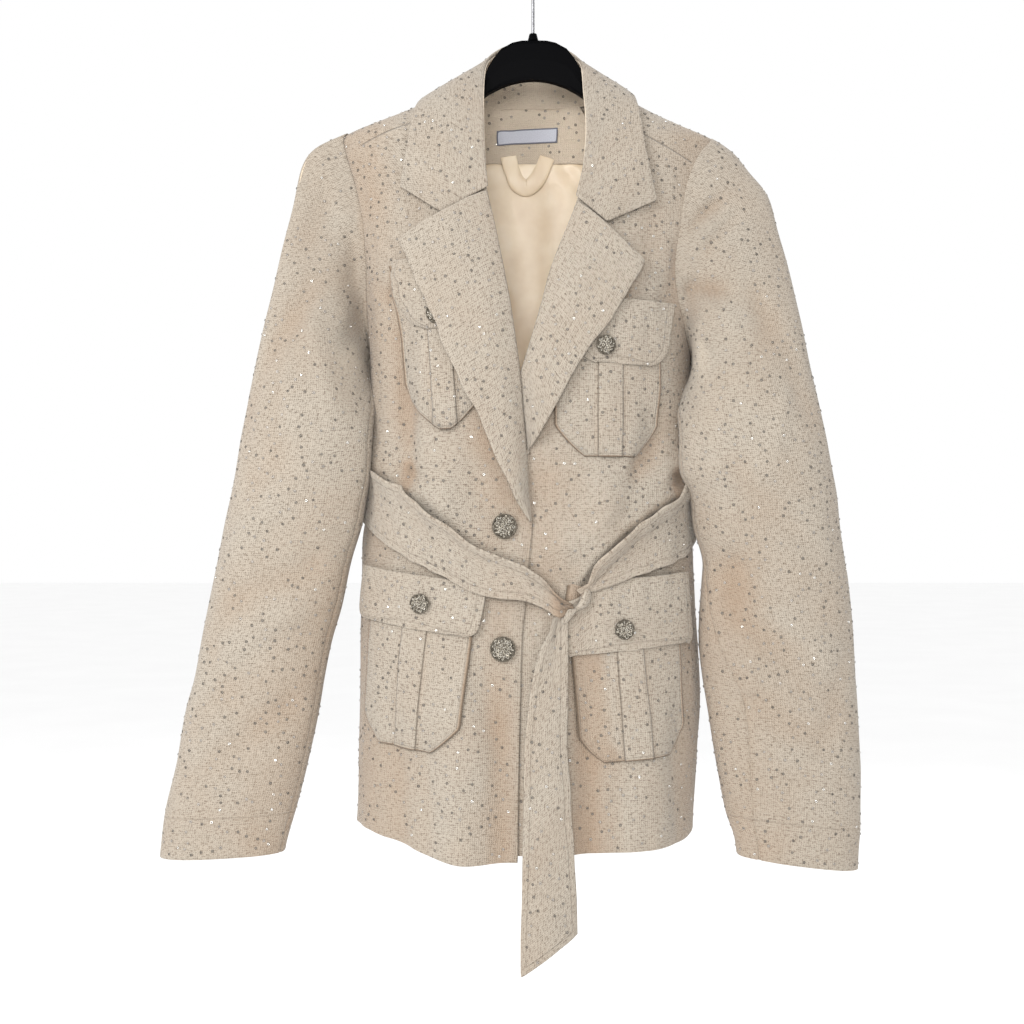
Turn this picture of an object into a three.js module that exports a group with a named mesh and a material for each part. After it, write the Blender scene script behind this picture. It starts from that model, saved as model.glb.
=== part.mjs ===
// A belted, single-breasted tweed blazer hanging on a moulded clothes hanger.
// Millimetres, +Z up, the front faces -Y and the wearer's left is +X.
// The origin is the inside of the hanger hook's top, where a rail would carry it.
import * as THREE from 'three';

const { Vector3 } = THREE;

// Driving sizes
const clothWall = 2.0; // shell cloth with its fusing and lining
const seamGap = 0.3; // between two pieces that are sewn together
const shoulderTop = -116; // height of the neck point of the shoulder seam
const shoulderTip = -162; // height of the shoulder seam's outer end
const underarm = -375;
const backHem = -806;
const backNeck = -120;
const breakPoint = -525; // where the right front starts to roll into its lapel
const bandWidth = 48; // width of the belt
const forwardSeam = 0.88; // the shoulder seam sits a little before the ridge
const roundness = 0.83; // exponent of the body's rounded-box sections
const sleeveRoundness = 0.9;

// Heights above a panel's outer face at which the layers on it start
const layer = {
  bag: 2.1, bagWall: 1.6, pleatRise: 1.2, flap: 5.6, flapWall: 1.8, lapel: 0.9,
  belt: 7.7, beltSide: 2, beltWall: 2.6, knot: 11.2,
};

// Body sections: height, middle in x, half width, depth of the front and of the back
const bodySections = [
  { z: -960, mid: -9, half: 158, front: 93, back: 88 },
  { z: -840, mid: -9, half: 158, front: 92, back: 87 },
  { z: -700, mid: -3, half: 160, front: 88, back: 84 },
  { z: -600, mid: -5, half: 157.5, front: 84, back: 77 },
  { z: -520, mid: -5, half: 154.5, front: 79, back: 70 },
  { z: -450, mid: -4, half: 152, front: 79, back: 74 },
  { z: -375, mid: -3, half: 151, front: 78, back: 79 },
  { z: -300, mid: -3, half: 156, front: 73, back: 80 },
  { z: -250, mid: -3, half: 162, front: 66, back: 78 },
  { z: -210, mid: -3, half: 168, front: 58, back: 75 },
  { z: -190, mid: -3, half: 173, front: 53, back: 73 },
  { z: -172, mid: -3, half: 177, front: 48, back: 71 },
  { z: -164, mid: -3, half: 176, front: 46, back: 70 },
  { z: -158, mid: -3, half: 166, front: 44, back: 69 },
  { z: -149, mid: -3, half: 144, front: 41, back: 68 },
  { z: -140, mid: -3, half: 121, front: 38, back: 66 },
  { z: -130, mid: -2, half: 98, front: 35, back: 64 },
  { z: -122, mid: -1, half: 81, front: 32, back: 62 },
  { z: -114, mid: 0, half: 64, front: 29, back: 60 },
  { z: -106, mid: 0, half: 48, front: 26, back: 58 },
];

// Soft folds of the body: where they run in x at their two ends, how wide and how deep, on which face
const bodyFolds = [
  { x: -74, xEnd: -62, top: -600, bottom: -900, width: 20, depth: 4.5, face: 'front' },
  { x: -34, xEnd: -26, top: -630, bottom: -900, width: 17, depth: -4.5, face: 'front' },
  { x: -128, xEnd: -118, top: -640, bottom: -900, width: 14, depth: -4, face: 'front' },
  { x: 50, xEnd: 46, top: -605, bottom: -900, width: 20, depth: -5, face: 'front' },
  { x: 100, xEnd: 112, top: -640, bottom: -900, width: 20, depth: 4, face: 'front' },
  { x: -122, xEnd: -114, top: -300, bottom: -490, width: 16, depth: -5, face: 'front' },
  { x: -90, xEnd: -70, top: -415, bottom: -550, width: 19, depth: 3.5, face: 'front' },
  { x: 66, xEnd: 52, top: -470, bottom: -575, width: 22, depth: 4, face: 'front' },
  { x: 112, xEnd: 104, top: -400, bottom: -520, width: 16, depth: -3.5, face: 'front' },
  { x: -95, xEnd: -70, top: -210, bottom: -480, width: 16, depth: -5, face: 'back' },
  { x: 95, xEnd: 66, top: -210, bottom: -480, width: 16, depth: -5, face: 'back' },
  { x: 0, xEnd: 0, top: -330, bottom: -500, width: 20, depth: 4, face: 'back' },
  { x: -48, xEnd: -66, top: -520, bottom: -900, width: 16, depth: -6, face: 'back' },
  { x: 2, xEnd: 4, top: -520, bottom: -900, width: 17, depth: 6, face: 'back' },
  { x: 52, xEnd: 72, top: -520, bottom: -900, width: 16, depth: -6, face: 'back' },
  { x: -108, xEnd: -116, top: -560, bottom: -900, width: 15, depth: 4, face: 'back' },
  { x: 108, xEnd: 118, top: -560, bottom: -900, width: 15, depth: 4, face: 'back' },
];

// Front edge and roll line of each front, from the hem up to the neck point
const rightFrontEdge = [
  { z: -960, x: -17 }, { z: -829, x: -16 }, { z: -737, x: -15 }, { z: -676, x: -13.5 }, { z: -628, x: -12 },
  { z: -599, x: -9 }, { z: -562, x: -6 }, { z: -525, x: -3 }, { z: -488, x: -6 }, { z: -453, x: -8 },
  { z: -425, x: -10.5 }, { z: -391, x: -13.5 }, { z: -364, x: -17 }, { z: -330, x: -22 }, { z: -303, x: -27 },
  { z: -278, x: -32 }, { z: -251, x: -37.5 }, { z: -227, x: -43 }, { z: -200, x: -48 }, { z: -170, x: -54 },
  { z: -140, x: -60 }, { z: -116, x: -65 },
];
const leftFrontEdge = [
  { z: -960, x: -52 }, { z: -829, x: -52 }, { z: -628, x: -50 }, { z: -500, x: -46 }, { z: -450, x: -31 },
  { z: -420, x: -21.5 }, { z: -391, x: -12 }, { z: -364, x: -3 }, { z: -330, x: 7 }, { z: -303, x: 14 },
  { z: -278, x: 23 }, { z: -237, x: 39 }, { z: -210, x: 46 }, { z: -170, x: 54 }, { z: -140, x: 60 },
  { z: -116, x: 64 },
];

// Armhole, from the shoulder tip down to the underarm: q is the place round the section
const armholeFront = [
  { t: 0, q: 0.88, z: -162 }, { t: 0.1, q: 0.72, z: -178 }, { t: 0.25, q: 0.64, z: -212 },
  { t: 0.5, q: 0.62, z: -270 }, { t: 0.75, q: 0.68, z: -325 }, { t: 0.9, q: 0.84, z: -361 },
  { t: 1, q: 1.0, z: -375 },
];
const armholeBack = [
  { t: 0, q: 0.88, z: -162 }, { t: 0.06, q: 1.0, z: -163 }, { t: 0.15, q: 1.16, z: -177 },
  { t: 0.3, q: 1.26, z: -213 }, { t: 0.5, q: 1.26, z: -268 }, { t: 0.75, q: 1.2, z: -325 },
  { t: 0.9, q: 1.1, z: -362 }, { t: 1, q: 1.0, z: -375 },
];

// Sleeve rings: height, inner and outer edge as distances from the middle, middle and half depth in y
const rightSleeve = {
  side: -1,
  cap: -450,
  cuff: -835,
  cuffTilt: -3,
  rings: [
    { z: -450, inner: 158, outer: 270.5, y: -41, depth: 31 },
    { z: -510, inner: 163, outer: 280.5, y: -42, depth: 30 },
    { z: -561, inner: 168, outer: 291, y: -40, depth: 30 },
    { z: -603, inner: 177, outer: 300, y: -39, depth: 30 },
    { z: -634, inner: 186, outer: 306.5, y: -38, depth: 29 },
    { z: -669, inner: 193, outer: 313, y: -38, depth: 29 },
    { z: -696, inner: 197.5, outer: 320.5, y: -38, depth: 29 },
    { z: -743, inner: 206.5, outer: 329.5, y: -38, depth: 28 },
    { z: -788, inner: 217, outer: 339, y: -38, depth: 27 },
    { z: -824, inner: 227, outer: 344.5, y: -38, depth: 26 },
    { z: -850, inner: 231, outer: 347, y: -38, depth: 26 },
  ],
};
const leftSleeve = {
  side: 1,
  cap: -450,
  cuff: -839,
  cuffTilt: -7,
  rings: [
    { z: -450, inner: 150, outer: 271, y: -38, depth: 32 },
    { z: -531, inner: 152, outer: 282, y: -38, depth: 31 },
    { z: -580, inner: 155.5, outer: 290.5, y: -37, depth: 30 },
    { z: -632, inner: 157, outer: 295.3, y: -37, depth: 29 },
    { z: -670, inner: 158, outer: 297.6, y: -37, depth: 29 },
    { z: -709, inner: 161.5, outer: 299.5, y: -37, depth: 28 },
    { z: -756, inner: 169, outer: 302, y: -37, depth: 27 },
    { z: -800, inner: 177.8, outer: 302.6, y: -37, depth: 26 },
    { z: -823, inner: 185, outer: 301, y: -37, depth: 25 },
    { z: -850, inner: 188, outer: 300, y: -37, depth: 25 },
  ],
};
// Folds of the sleeves: angle round the sleeve (0 outer, 90 front, 180 inner), height, spans and depth
const sleeveFolds = {
  '-1': [
    { angle: 70, z: -300, angleEnd: 40, zEnd: -400, width: 13, depth: -4 },
    { angle: 120, z: -560, angleEnd: 60, zEnd: -600, width: 14, depth: -3 },
    { angle: 130, z: -690, angleEnd: 70, zEnd: -740, width: 14, depth: -3 },
    { angle: 250, z: -520, angleEnd: 300, zEnd: -590, width: 16, depth: -4 },
  ],
  1: [
    { angle: 100, z: -262, angleEnd: 62, zEnd: -238, width: 8, depth: -4 },
    { angle: 118, z: -300, angleEnd: 72, zEnd: -306, width: 8, depth: -5 },
    { angle: 126, z: -560, angleEnd: 100, zEnd: -640, width: 15, depth: -6 },
    { angle: 118, z: -690, angleEnd: 70, zEnd: -720, width: 14, depth: -3 },
    { angle: 250, z: -520, angleEnd: 300, zEnd: -600, width: 16, depth: -4 },
  ],
};
const sleeveFrontSeam = 112; // degrees round the sleeve
const sleeveBackSeam = 232;

// Lapels: the outer edge from the break point up to the tip
const rightLapelEdge = [
  { z: -525, x: -4 }, { z: -509, x: -14 }, { z: -488, x: -23 }, { z: -463, x: -35 }, { z: -435, x: -46 },
  { z: -414, x: -56 }, { z: -385, x: -70 }, { z: -349, x: -85 }, { z: -317, x: -98 }, { z: -289, x: -109 },
  { z: -272, x: -116 },
];
const leftLapelEdge = [
  { z: -464, x: -7.5 }, { z: -439, x: 8 }, { z: -416, x: 21 }, { z: -393, x: 32 }, { z: -366, x: 49 },
  { z: -347, x: 64 }, { z: -330, x: 74 }, { z: -311, x: 85 }, { z: -292, x: 94 },
];

// Collar: a row for each station from the right gorge round the back to the left gorge.
// fold is the turned-over top edge, half is midway down the leaf, edge is its outer edge.
// A null is worked out from the body below, so that the cloth clears it by the collar's lift.
const collarStations = [
  { fold: [-43, -65, -224.6], half: [-84, null, -244.8], edge: [-121, null, -219.5] },
  { fold: [-45, -59, -202], half: [-82, null, -216], edge: [-119, null, -205] },
  { fold: [-47, -50, -166], half: [-80, null, -180], edge: [-115, null, -180] },
  { fold: [-48, -26, -126], half: [-78, -28, null], edge: [-110.5, -31, null] },
  { fold: [-45, 5, -91], half: [-75, -2, -103], edge: [-106, -3, null] },
  { fold: [-35, 28, -74], half: [-64, 44, -97], edge: [-92, 40, null] },
  { fold: [-20, 43, -63], half: [-39, 65, -88], edge: [-62, null, -131] },
  { fold: [0, 49, -59], half: [0, 69, -83], edge: [0, null, -129] },
  { fold: [20, 43, -63], half: [38, 65, -88], edge: [56, null, -131] },
  { fold: [36, 28, -74], half: [60, 44, -97], edge: [82, 40, null] },
  { fold: [46, 5, -91], half: [69, -2, -101], edge: [94, -3, null] },
  { fold: [48, -26, -126], half: [73, -28, null], edge: [96, -29, null] },
  { fold: [49, -50, -168], half: [75, null, -184], edge: [101, null, -180] },
  { fold: [45, -60, -207], half: [73, null, -222], edge: [107, null, -211] },
  { fold: [39, -68, -233.5], half: [66, null, -254], edge: [111, null, -232] },
];
const collarLift = 7.5;

// Patch pockets: middle of the top edge, size, tilt of the whole pocket, corner cut, its flap and button
const pockets = [
  { name: 'chest_right', x: -93, z: -290, wide: 74, high: 140, tilt: 14, cut: 26, flapHigh: 56, flapWide: 68, button: [0, -46] },
  { name: 'chest_left', x: 72, z: -328, wide: 96, high: 138, tilt: 0, cut: 25, flapHigh: 54, flapWide: 84, flapShift: 10, seat: -0.9, button: [-7, -40] },
  { name: 'hip_right', x: -103, z: -577, wide: 106, high: 152, tilt: -4, cut: 26, flapHigh: 50, flapWide: 120, button: [0, -27] },
  { name: 'hip_left', x: 94, z: -580, wide: 104, high: 158, tilt: 5, cut: 24, flapHigh: 62, flapWide: 118, flapShift: 6, button: [-13, -42] },
];
const smallButton = { radius: 9, thick: 4.2 };
const largeButton = { radius: 12, thick: 5 };
const frontButtons = [
  { name: 'button_front_upper', x: -26, z: -530 },
  { name: 'button_front_lower', x: -28, z: -639 },
];

// Belt: upper and lower edge of each stretch where it crosses the fronts
const beltRightFront = [
  { x: -163, top: -474, bottom: -522 }, { x: -142, top: -480, bottom: -538 }, { x: -111, top: -498, bottom: -559 },
  { x: -80, top: -520, bottom: -575 }, { x: -48, top: -546, bottom: -591 }, { x: -6, top: -563.5, bottom: -596.5 },
  { x: 10, top: -574, bottom: -604 }, { x: 22, top: -586, bottom: -611 }, { x: 33, top: -597, bottom: -606 },
];
const beltLeftFront = [
  { x: 36.5, top: -586, bottom: -597 }, { x: 44, top: -573, bottom: -591 }, { x: 53, top: -561, bottom: -588 },
  { x: 70, top: -544, bottom: -582 }, { x: 101, top: -520, bottom: -571 }, { x: 125.5, top: -505, bottom: -562 },
  { x: 139, top: -496, bottom: -555 }, { x: 149.6, top: -492, bottom: -541 },
];
const beltTail = [
  { z: -612.6, left: 17, right: 28 }, { z: -638, left: 5.5, right: 27.5 }, { z: -665, left: -0.7, right: 26.5 },
  { z: -686, left: -3.7, right: 26.8 }, { z: -727, left: -7.7, right: 28 }, { z: -768, left: -9, right: 32 },
  { z: -820, left: -10, right: 34.5 }, { z: -889, left: -12, right: 36.5 },
];
const tailPoint = -925; // the tail's long corner, on its right-hand side
const innerTail = [
  { z: -618, left: 16, right: 24 }, { z: -640, left: 9, right: 24 }, { z: -700, left: 0, right: 24 },
  { z: -800, left: -4, right: 26 },
];

const hanger = { top: -70, halfThick: 5.5, armHigh: 14, armEnd: 166, clear: 3.4 };
const hook = { wire: 1.6, radius: 19, ferruleTop: -58, ferruleRadius: 3.4 };

const materials = {
  tweed: new THREE.MeshStandardMaterial({ color: 0xd8c8b0, roughness: 0.9 }),
  lining: new THREE.MeshStandardMaterial({ color: 0xe8d3b0, roughness: 0.45 }),
  label: new THREE.MeshStandardMaterial({ color: 0xb4b7bf, roughness: 0.6 }),
  button: new THREE.MeshStandardMaterial({ color: 0xb9b3a2, roughness: 0.3, metalness: 0.9 }),
  plastic: new THREE.MeshStandardMaterial({ color: 0x111214, roughness: 0.4 }),
  steel: new THREE.MeshStandardMaterial({ color: 0xb8babd, roughness: 0.25, metalness: 1 }),
};

const blazer = new THREE.Group();

const lerp = (a, b, t) => a + (b - a) * t;
const clamp = (v, low = 0, high = 1) => Math.min(high, Math.max(low, v));
const smooth = (a, b, v) => {
  const t = clamp((v - a) / (b - a));
  return t * t * (3 - 2 * t);
};
const signedPower = (v, power) => Math.sign(v) * Math.abs(v) ** power;

// Smooth interpolation of every number in a table, by one of its columns
function read(rows, by, value) {
  const rising = rows[0][by] < rows[rows.length - 1][by];
  const keyOf = (i) => (rising ? rows[i][by] : -rows[i][by]);
  const key = rising ? value : -value;
  let i = 0;
  while (i < rows.length - 2 && key > keyOf(i + 1)) i += 1;
  const span = keyOf(i + 1) - keyOf(i);
  const t = clamp((key - keyOf(i)) / span);
  const result = {};
  for (const column of Object.keys(rows[0])) {
    if (typeof rows[0][column] !== 'number') continue;
    const slope = (k) => {
      const a = Math.max(k - 1, 0);
      const b = Math.min(k + 1, rows.length - 1);
      return (rows[b][column] - rows[a][column]) / (keyOf(b) - keyOf(a));
    };
    const p = rows[i][column];
    const r = rows[i + 1][column];
    const t2 = t * t;
    const t3 = t2 * t;
    result[column] = p * (2 * t3 - 3 * t2 + 1) + r * (3 * t2 - 2 * t3)
      + span * (slope(i) * (t3 - 2 * t2 + t) + slope(i + 1) * (t3 - t2));
  }
  result[by] = value;
  return result;
}

// The body's surface. p runs round it: 0 at the front middle, 1 and -1 at the two sides, 2 at the back middle.
function bodyPlain(p, z) {
  const section = read(bodySections, 'z', z);
  const angle = (p * Math.PI) / 2;
  const x = section.mid + section.half * signedPower(Math.sin(angle), roundness);
  const depth = Math.cos(angle) > 0 ? section.front : section.back;
  return new Vector3(x, -depth * signedPower(Math.cos(angle), roundness), z);
}

function foldDepth(point) {
  let sum = 0;
  for (const fold of bodyFolds) {
    const onFace = fold.face === 'front' ? smooth(6, -14, point.y) : smooth(-6, 14, point.y);
    if (onFace === 0) continue;
    const along = clamp((fold.top - point.z) / (fold.top - fold.bottom));
    const middle = lerp(fold.x, fold.xEnd, along);
    const fade = smooth(0, 0.35, along) * (fold.bottom < -850 ? 1 : smooth(1, 0.6, along));
    sum += fold.depth * fade * onFace * Math.exp(-(((point.x - middle) / fold.width) ** 2));
  }
  return sum;
}

// The cloth swells a little over the belt and is drawn in under it
function beltLine(point) {
  const t = clamp((point.x + 160) / 310);
  const front = -505 - 85 * Math.sin(Math.PI * clamp(t * 0.9 + 0.02)) ** 1.5;
  return lerp(-508, front, smooth(20, -40, point.y));
}

function beltSwell(point) {
  const above = point.z - beltLine(point);
  return 3.5 * Math.exp(-(((above - 46) / 20) ** 2)) - 2.5 * Math.exp(-((above / 26) ** 2));
}

function bodyFolded(p, z) {
  const point = bodyPlain(p, z);
  const out = new Vector3(point.x * 0.35, point.y, 0).normalize();
  return point.addScaledVector(out, foldDepth(point) + beltSwell(point));
}

function bodyNormal(p, z) {
  const dp = 0.004;
  const dz = 1.5;
  const round = bodyFolded(p + dp, z).sub(bodyFolded(p - dp, z));
  const up = bodyFolded(p, z + dz).sub(bodyFolded(p, z - dz));
  return round.cross(up).normalize();
}

// A point on the body, moved out along the cloth's normal
function body(p, z, out = 0) {
  return bodyFolded(p, z).addScaledVector(bodyNormal(p, z), out);
}

// Where x lies round the front of the section at a height
function placeOf(x, z) {
  const section = read(bodySections, 'z', z);
  const share = clamp((x - section.mid) / section.half, -1, 1);
  return (Math.asin(signedPower(share, 1 / roundness)) * 2) / Math.PI;
}

// Moves round the body by a distance along the cloth
function walk(p, z, distance) {
  const steps = 16;
  let place = p;
  for (let i = 0; i < steps; i += 1) {
    const speed = bodyPlain(place + 0.002, z).distanceTo(bodyPlain(place - 0.002, z)) / 0.004;
    place += distance / steps / Math.max(speed, 30);
  }
  return place;
}

// A wall of cloth between an outer and an inner grid of points, closed all round
function wall(name, columns, rows, outer, inner, material) {
  const positions = [];
  const index = [];
  const grids = [outer, inner];
  for (const grid of grids) {
    for (let j = 0; j < rows; j += 1) {
      for (let i = 0; i < columns; i += 1) {
        positions.push(...grid(i / (columns - 1), j / (rows - 1), i, j).toArray());
      }
    }
  }
  const at = (face, i, j) => face * columns * rows + j * columns + i;
  const quad = (a, b, c, d) => index.push(a, b, c, a, c, d);
  for (let j = 0; j < rows - 1; j += 1) {
    for (let i = 0; i < columns - 1; i += 1) {
      quad(at(0, i, j), at(0, i + 1, j), at(0, i + 1, j + 1), at(0, i, j + 1));
      quad(at(1, i, j), at(1, i, j + 1), at(1, i + 1, j + 1), at(1, i + 1, j));
    }
  }
  for (let i = 0; i < columns - 1; i += 1) {
    quad(at(0, i, 0), at(1, i, 0), at(1, i + 1, 0), at(0, i + 1, 0));
    quad(at(0, i + 1, rows - 1), at(1, i + 1, rows - 1), at(1, i, rows - 1), at(0, i, rows - 1));
  }
  for (let j = 0; j < rows - 1; j += 1) {
    quad(at(0, 0, j + 1), at(1, 0, j + 1), at(1, 0, j), at(0, 0, j));
    quad(at(0, columns - 1, j), at(1, columns - 1, j), at(1, columns - 1, j + 1), at(0, columns - 1, j + 1));
  }
  addSolid(name, positions, index, material);
}

// Adds a closed mesh, with its faces turned outwards
function addSolid(name, positions, index, material) {
  let volume = 0;
  const corner = (k) => new Vector3().fromArray(positions, 3 * k);
  for (let k = 0; k < index.length; k += 3) {
    volume += corner(index[k]).dot(corner(index[k + 1]).cross(corner(index[k + 2])));
  }
  if (volume < 0) index.reverse();
  const geometry = new THREE.BufferGeometry();
  geometry.setAttribute('position', new THREE.Float32BufferAttribute(positions, 3));
  geometry.setIndex(index);
  geometry.computeVertexNormals();
  const mesh = new THREE.Mesh(geometry, material);
  mesh.name = name;
  blazer.add(mesh);
}

// A wall whose two grids follow the body at two distances from it
function bodyWall(name, columns, rows, place, low, thick, material) {
  const grid = (rise) => (u, v, i, j) => {
    const { p, z, lift = 0 } = place(u, v, i, j);
    return body(p, z, low + lift + rise);
  };
  wall(name, columns, rows, grid(thick), grid(0), material);
}

// Fronts
const hemOfFront = {
  '-1': [{ u: 0, z: -828 }, { u: 0.2, z: -834 }, { u: 0.5, z: -818 }, { u: 0.8, z: -809 }, { u: 1, z: -806 }],
  1: [{ u: 0, z: -823 }, { u: 0.3, z: -821 }, { u: 0.6, z: -819 }, { u: 0.85, z: -815 }, { u: 1, z: -806 }],
};

// How far the under front is pressed in beneath the edge of the upper one
function underlap(point) {
  const edge = read(rightFrontEdge, 'z', Math.max(point.z, -900)).x;
  return -(clothWall + 1.7) * smooth(edge + 16, edge + 5, point.x);
}

function sideOuter(side, v) {
  const below = (underarm - backHem) / (shoulderTip - backHem);
  if (v < below) return { p: side, z: lerp(backHem, underarm, v / below) };
  const hole = read(armholeFront, 't', 1 - (v - below) / (1 - below));
  return { p: side * hole.q, z: hole.z };
}

// Rows lie closer together towards the shoulder
const rowShare = (v) => 1 - (1 - v) ** 1.2;

function frontPlace(side, edges) {
  return (u, row) => {
    const v = rowShare(row);
    const zIn = lerp(-820, shoulderTop, v);
    const neck = smooth(0.965, 1, v);
    const pIn = lerp(placeOf(read(edges, 'z', zIn).x, zIn), side * forwardSeam, neck);
    const outer = sideOuter(side, v);
    const z = lerp(zIn, outer.z, u) + (read(hemOfFront[side], 'u', u).z - lerp(-820, backHem, u)) * (1 - v) ** 4;
    let p = lerp(pIn, outer.p, u);
    p = walk(p, z, u === 1 ? (-side * seamGap) / 2 : 0);
    return { p, z: v === 1 ? z - seamGap / 2 : z };
  };
}

// Columns of the under front, so that its step down lies along the upper front's edge
function steppedShare(place, i, row, columns) {
  const inner = place(0, row);
  const outer = place(1, row);
  const own = bodyPlain(inner.p, inner.z).x;
  const edge = read(rightFrontEdge, 'z', Math.max(inner.z, -900)).x;
  const stepIn = Math.max(edge + 4, own + 8);
  const stepOut = Math.max(edge + 17, own + 17);
  const near = [own, (own + stepIn) / 2, stepIn, (stepIn + stepOut) / 2, stepOut];
  const shareOf = (x) => clamp((placeOf(x, inner.z) - inner.p) / Math.max(0.1, outer.p - inner.p));
  const stepped = i < near.length
    ? shareOf(near[i])
    : lerp(shareOf(stepOut), 1, (i - near.length + 1) / (columns - near.length));
  return lerp(stepped, i / (columns - 1), smooth(0.5, 0.66, row));
}

function addFronts() {
  const rows = 25;
  const columns = 16;
  bodyWall('front_right', 14, rows, frontPlace(-1, rightFrontEdge), -clothWall, clothWall, materials.tweed);
  const place = frontPlace(1, leftFrontEdge);
  const under = (u, v, i) => {
    const spot = place(steppedShare(place, i, v, columns), v);
    return { ...spot, lift: underlap(bodyPlain(spot.p, spot.z)) };
  };
  bodyWall('front_left', columns, rows, under, -clothWall, clothWall, materials.tweed);
}

// Back: its top row runs from a shoulder tip up the seam, round the neck and down to the other tip
function backPlace(u, row) {
  const v = rowShare(row);
  const side = u < 0.5 ? 1 : -1;
  const across = Math.abs(u * 2 - 1);
  const below = (underarm - backHem) / (shoulderTip - backHem);
  const outer = v < below
    ? { q: 1, z: lerp(backHem, underarm, v / below) }
    : read(armholeBack, 't', 1 - (v - below) / (1 - below));
  const straight = { q: lerp(2, outer.q, across), z: lerp(lerp(backHem, backNeck, v), outer.z, across) };
  const neckShare = 0.42;
  const tip = armholeBack[0];
  const crown = across < neckShare
    ? { q: lerp(2, forwardSeam, across / neckShare), z: lerp(backNeck, shoulderTop, (across / neckShare) ** 2) }
    : { q: forwardSeam, z: lerp(shoulderTop, tip.z, (across - neckShare) / (1 - neckShare)) };
  const level = { q: lerp(2, tip.q, across), z: lerp(backNeck, tip.z, across) };
  const blend = smooth(0.78, 1, v);
  const q = straight.q + (crown.q - level.q) * blend;
  const z = straight.z + (crown.z - level.z) * blend;
  const trim = across > 0.999 && v < below ? seamGap / 2 : 0;
  const topTrim = v === 1 && across >= neckShare ? 0.012 : 0;
  return { p: side * (walk(q, z, trim) + topTrim), z };
}

function addBack() {
  bodyWall('back', 19, 22, backPlace, -clothWall, clothWall, materials.tweed);
}

// Sleeves: rings below the cap, and a cap that grows from the armhole to the first ring
function armholePoint(side, angle, out) {
  const turn = ((angle % 360) + 360) % 360;
  const front = turn <= 180;
  const t = (1 - Math.cos((turn * Math.PI) / 180)) / 2;
  const hole = read(front ? armholeFront : armholeBack, 't', t);
  return body(side * hole.q, hole.z, out);
}

function ringPoint(sleeve, angle, z) {
  const ring = read(sleeve.rings, 'z', z);
  const a = (angle * Math.PI) / 180;
  const across = signedPower(Math.cos(a), sleeveRoundness);
  const middle = (ring.inner + ring.outer) / 2;
  const half = (ring.outer - ring.inner) / 2;
  return new Vector3(
    sleeve.side * (middle + half * across),
    ring.y - ring.depth * signedPower(Math.sin(a), sleeveRoundness),
    z + sleeve.cuffTilt * across * smooth(-600, -830, z),
  );
}

const capShare = 0.36;
function sleevePlain(sleeve, angle, w) {
  if (w >= capShare) {
    return ringPoint(sleeve, angle, lerp(sleeve.cap, sleeve.cuff, (w - capShare) / (1 - capShare)));
  }
  const t = w / capShare;
  const c = Math.cos((angle * Math.PI) / 180);
  const start = armholePoint(sleeve.side, angle, seamGap + clothWall + 1.3);
  const end = ringPoint(sleeve, angle, sleeve.cap);
  const drop = ringPoint(sleeve, angle, sleeve.cap - 4).sub(end).normalize();
  const away = new Vector3(sleeve.side * (88 + 66 * c), 0, -14 - 14 * c);
  const down = drop.multiplyScalar(170 + 122 * c);
  const t2 = t * t;
  const t3 = t2 * t;
  return start.multiplyScalar(2 * t3 - 3 * t2 + 1)
    .addScaledVector(away, t3 - 2 * t2 + t)
    .addScaledVector(end, 3 * t2 - 2 * t3)
    .addScaledVector(down, t3 - t2);
}

function sleeveFolded(sleeve, angle, w) {
  const point = sleevePlain(sleeve, angle, w);
  const a = (angle * Math.PI) / 180;
  const out = new Vector3(sleeve.side * Math.cos(a) * 0.5, -Math.sin(a), 0).normalize();
  let sum = 0;
  for (const fold of sleeveFolds[sleeve.side]) {
    const radius = 0.75; // millimetres of cloth for each degree round the sleeve
    const turn = ((angle + 360) % 360);
    const from = [fold.angle * radius, fold.z];
    const along = [(fold.angleEnd - fold.angle) * radius, fold.zEnd - fold.z];
    const to = [turn * radius - from[0], point.z - from[1]];
    const length = Math.hypot(...along);
    const share = (to[0] * along[0] + to[1] * along[1]) / length ** 2;
    const aside = (to[0] * along[1] - to[1] * along[0]) / length;
    sum += fold.depth * Math.exp(-((aside / fold.width) ** 2)) * smooth(-0.25, 0.15, share) * smooth(1.5, 0.7, share);
  }
  return point.addScaledVector(out, sum * smooth(0, 0.05, w));
}

function sleevePoint(sleeve, angle, w, rise) {
  const da = 2;
  const dw = 0.006;
  const round = sleeveFolded(sleeve, angle + da, w).sub(sleeveFolded(sleeve, angle - da, w));
  const down = sleeveFolded(sleeve, angle, Math.min(w + dw, 1)).sub(sleeveFolded(sleeve, angle, Math.max(w - dw, 0)));
  const normal = down.cross(round).normalize().multiplyScalar(sleeve.side);
  return sleeveFolded(sleeve, angle, w).addScaledVector(normal, rise);
}

function addSleeve(sleeve, sideName) {
  const seamTurn = 0.2; // degrees left open on each side of a sleeve seam
  const rows = 20;
  const pieces = [
    { name: 'top', from: sleeveBackSeam - 360 + seamTurn, to: sleeveFrontSeam - seamTurn, columns: 15 },
    { name: 'under', from: sleeveFrontSeam + seamTurn, to: sleeveBackSeam - seamTurn, columns: 8 },
  ];
  for (const { name, from, to, columns } of pieces) {
    const grid = (rise) => (u, v) => sleevePoint(sleeve, lerp(from, to, u), v, rise);
    wall(`sleeve_${sideName}_${name}`, columns, rows, grid(0), grid(-clothWall), materials.tweed);
  }
}

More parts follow.
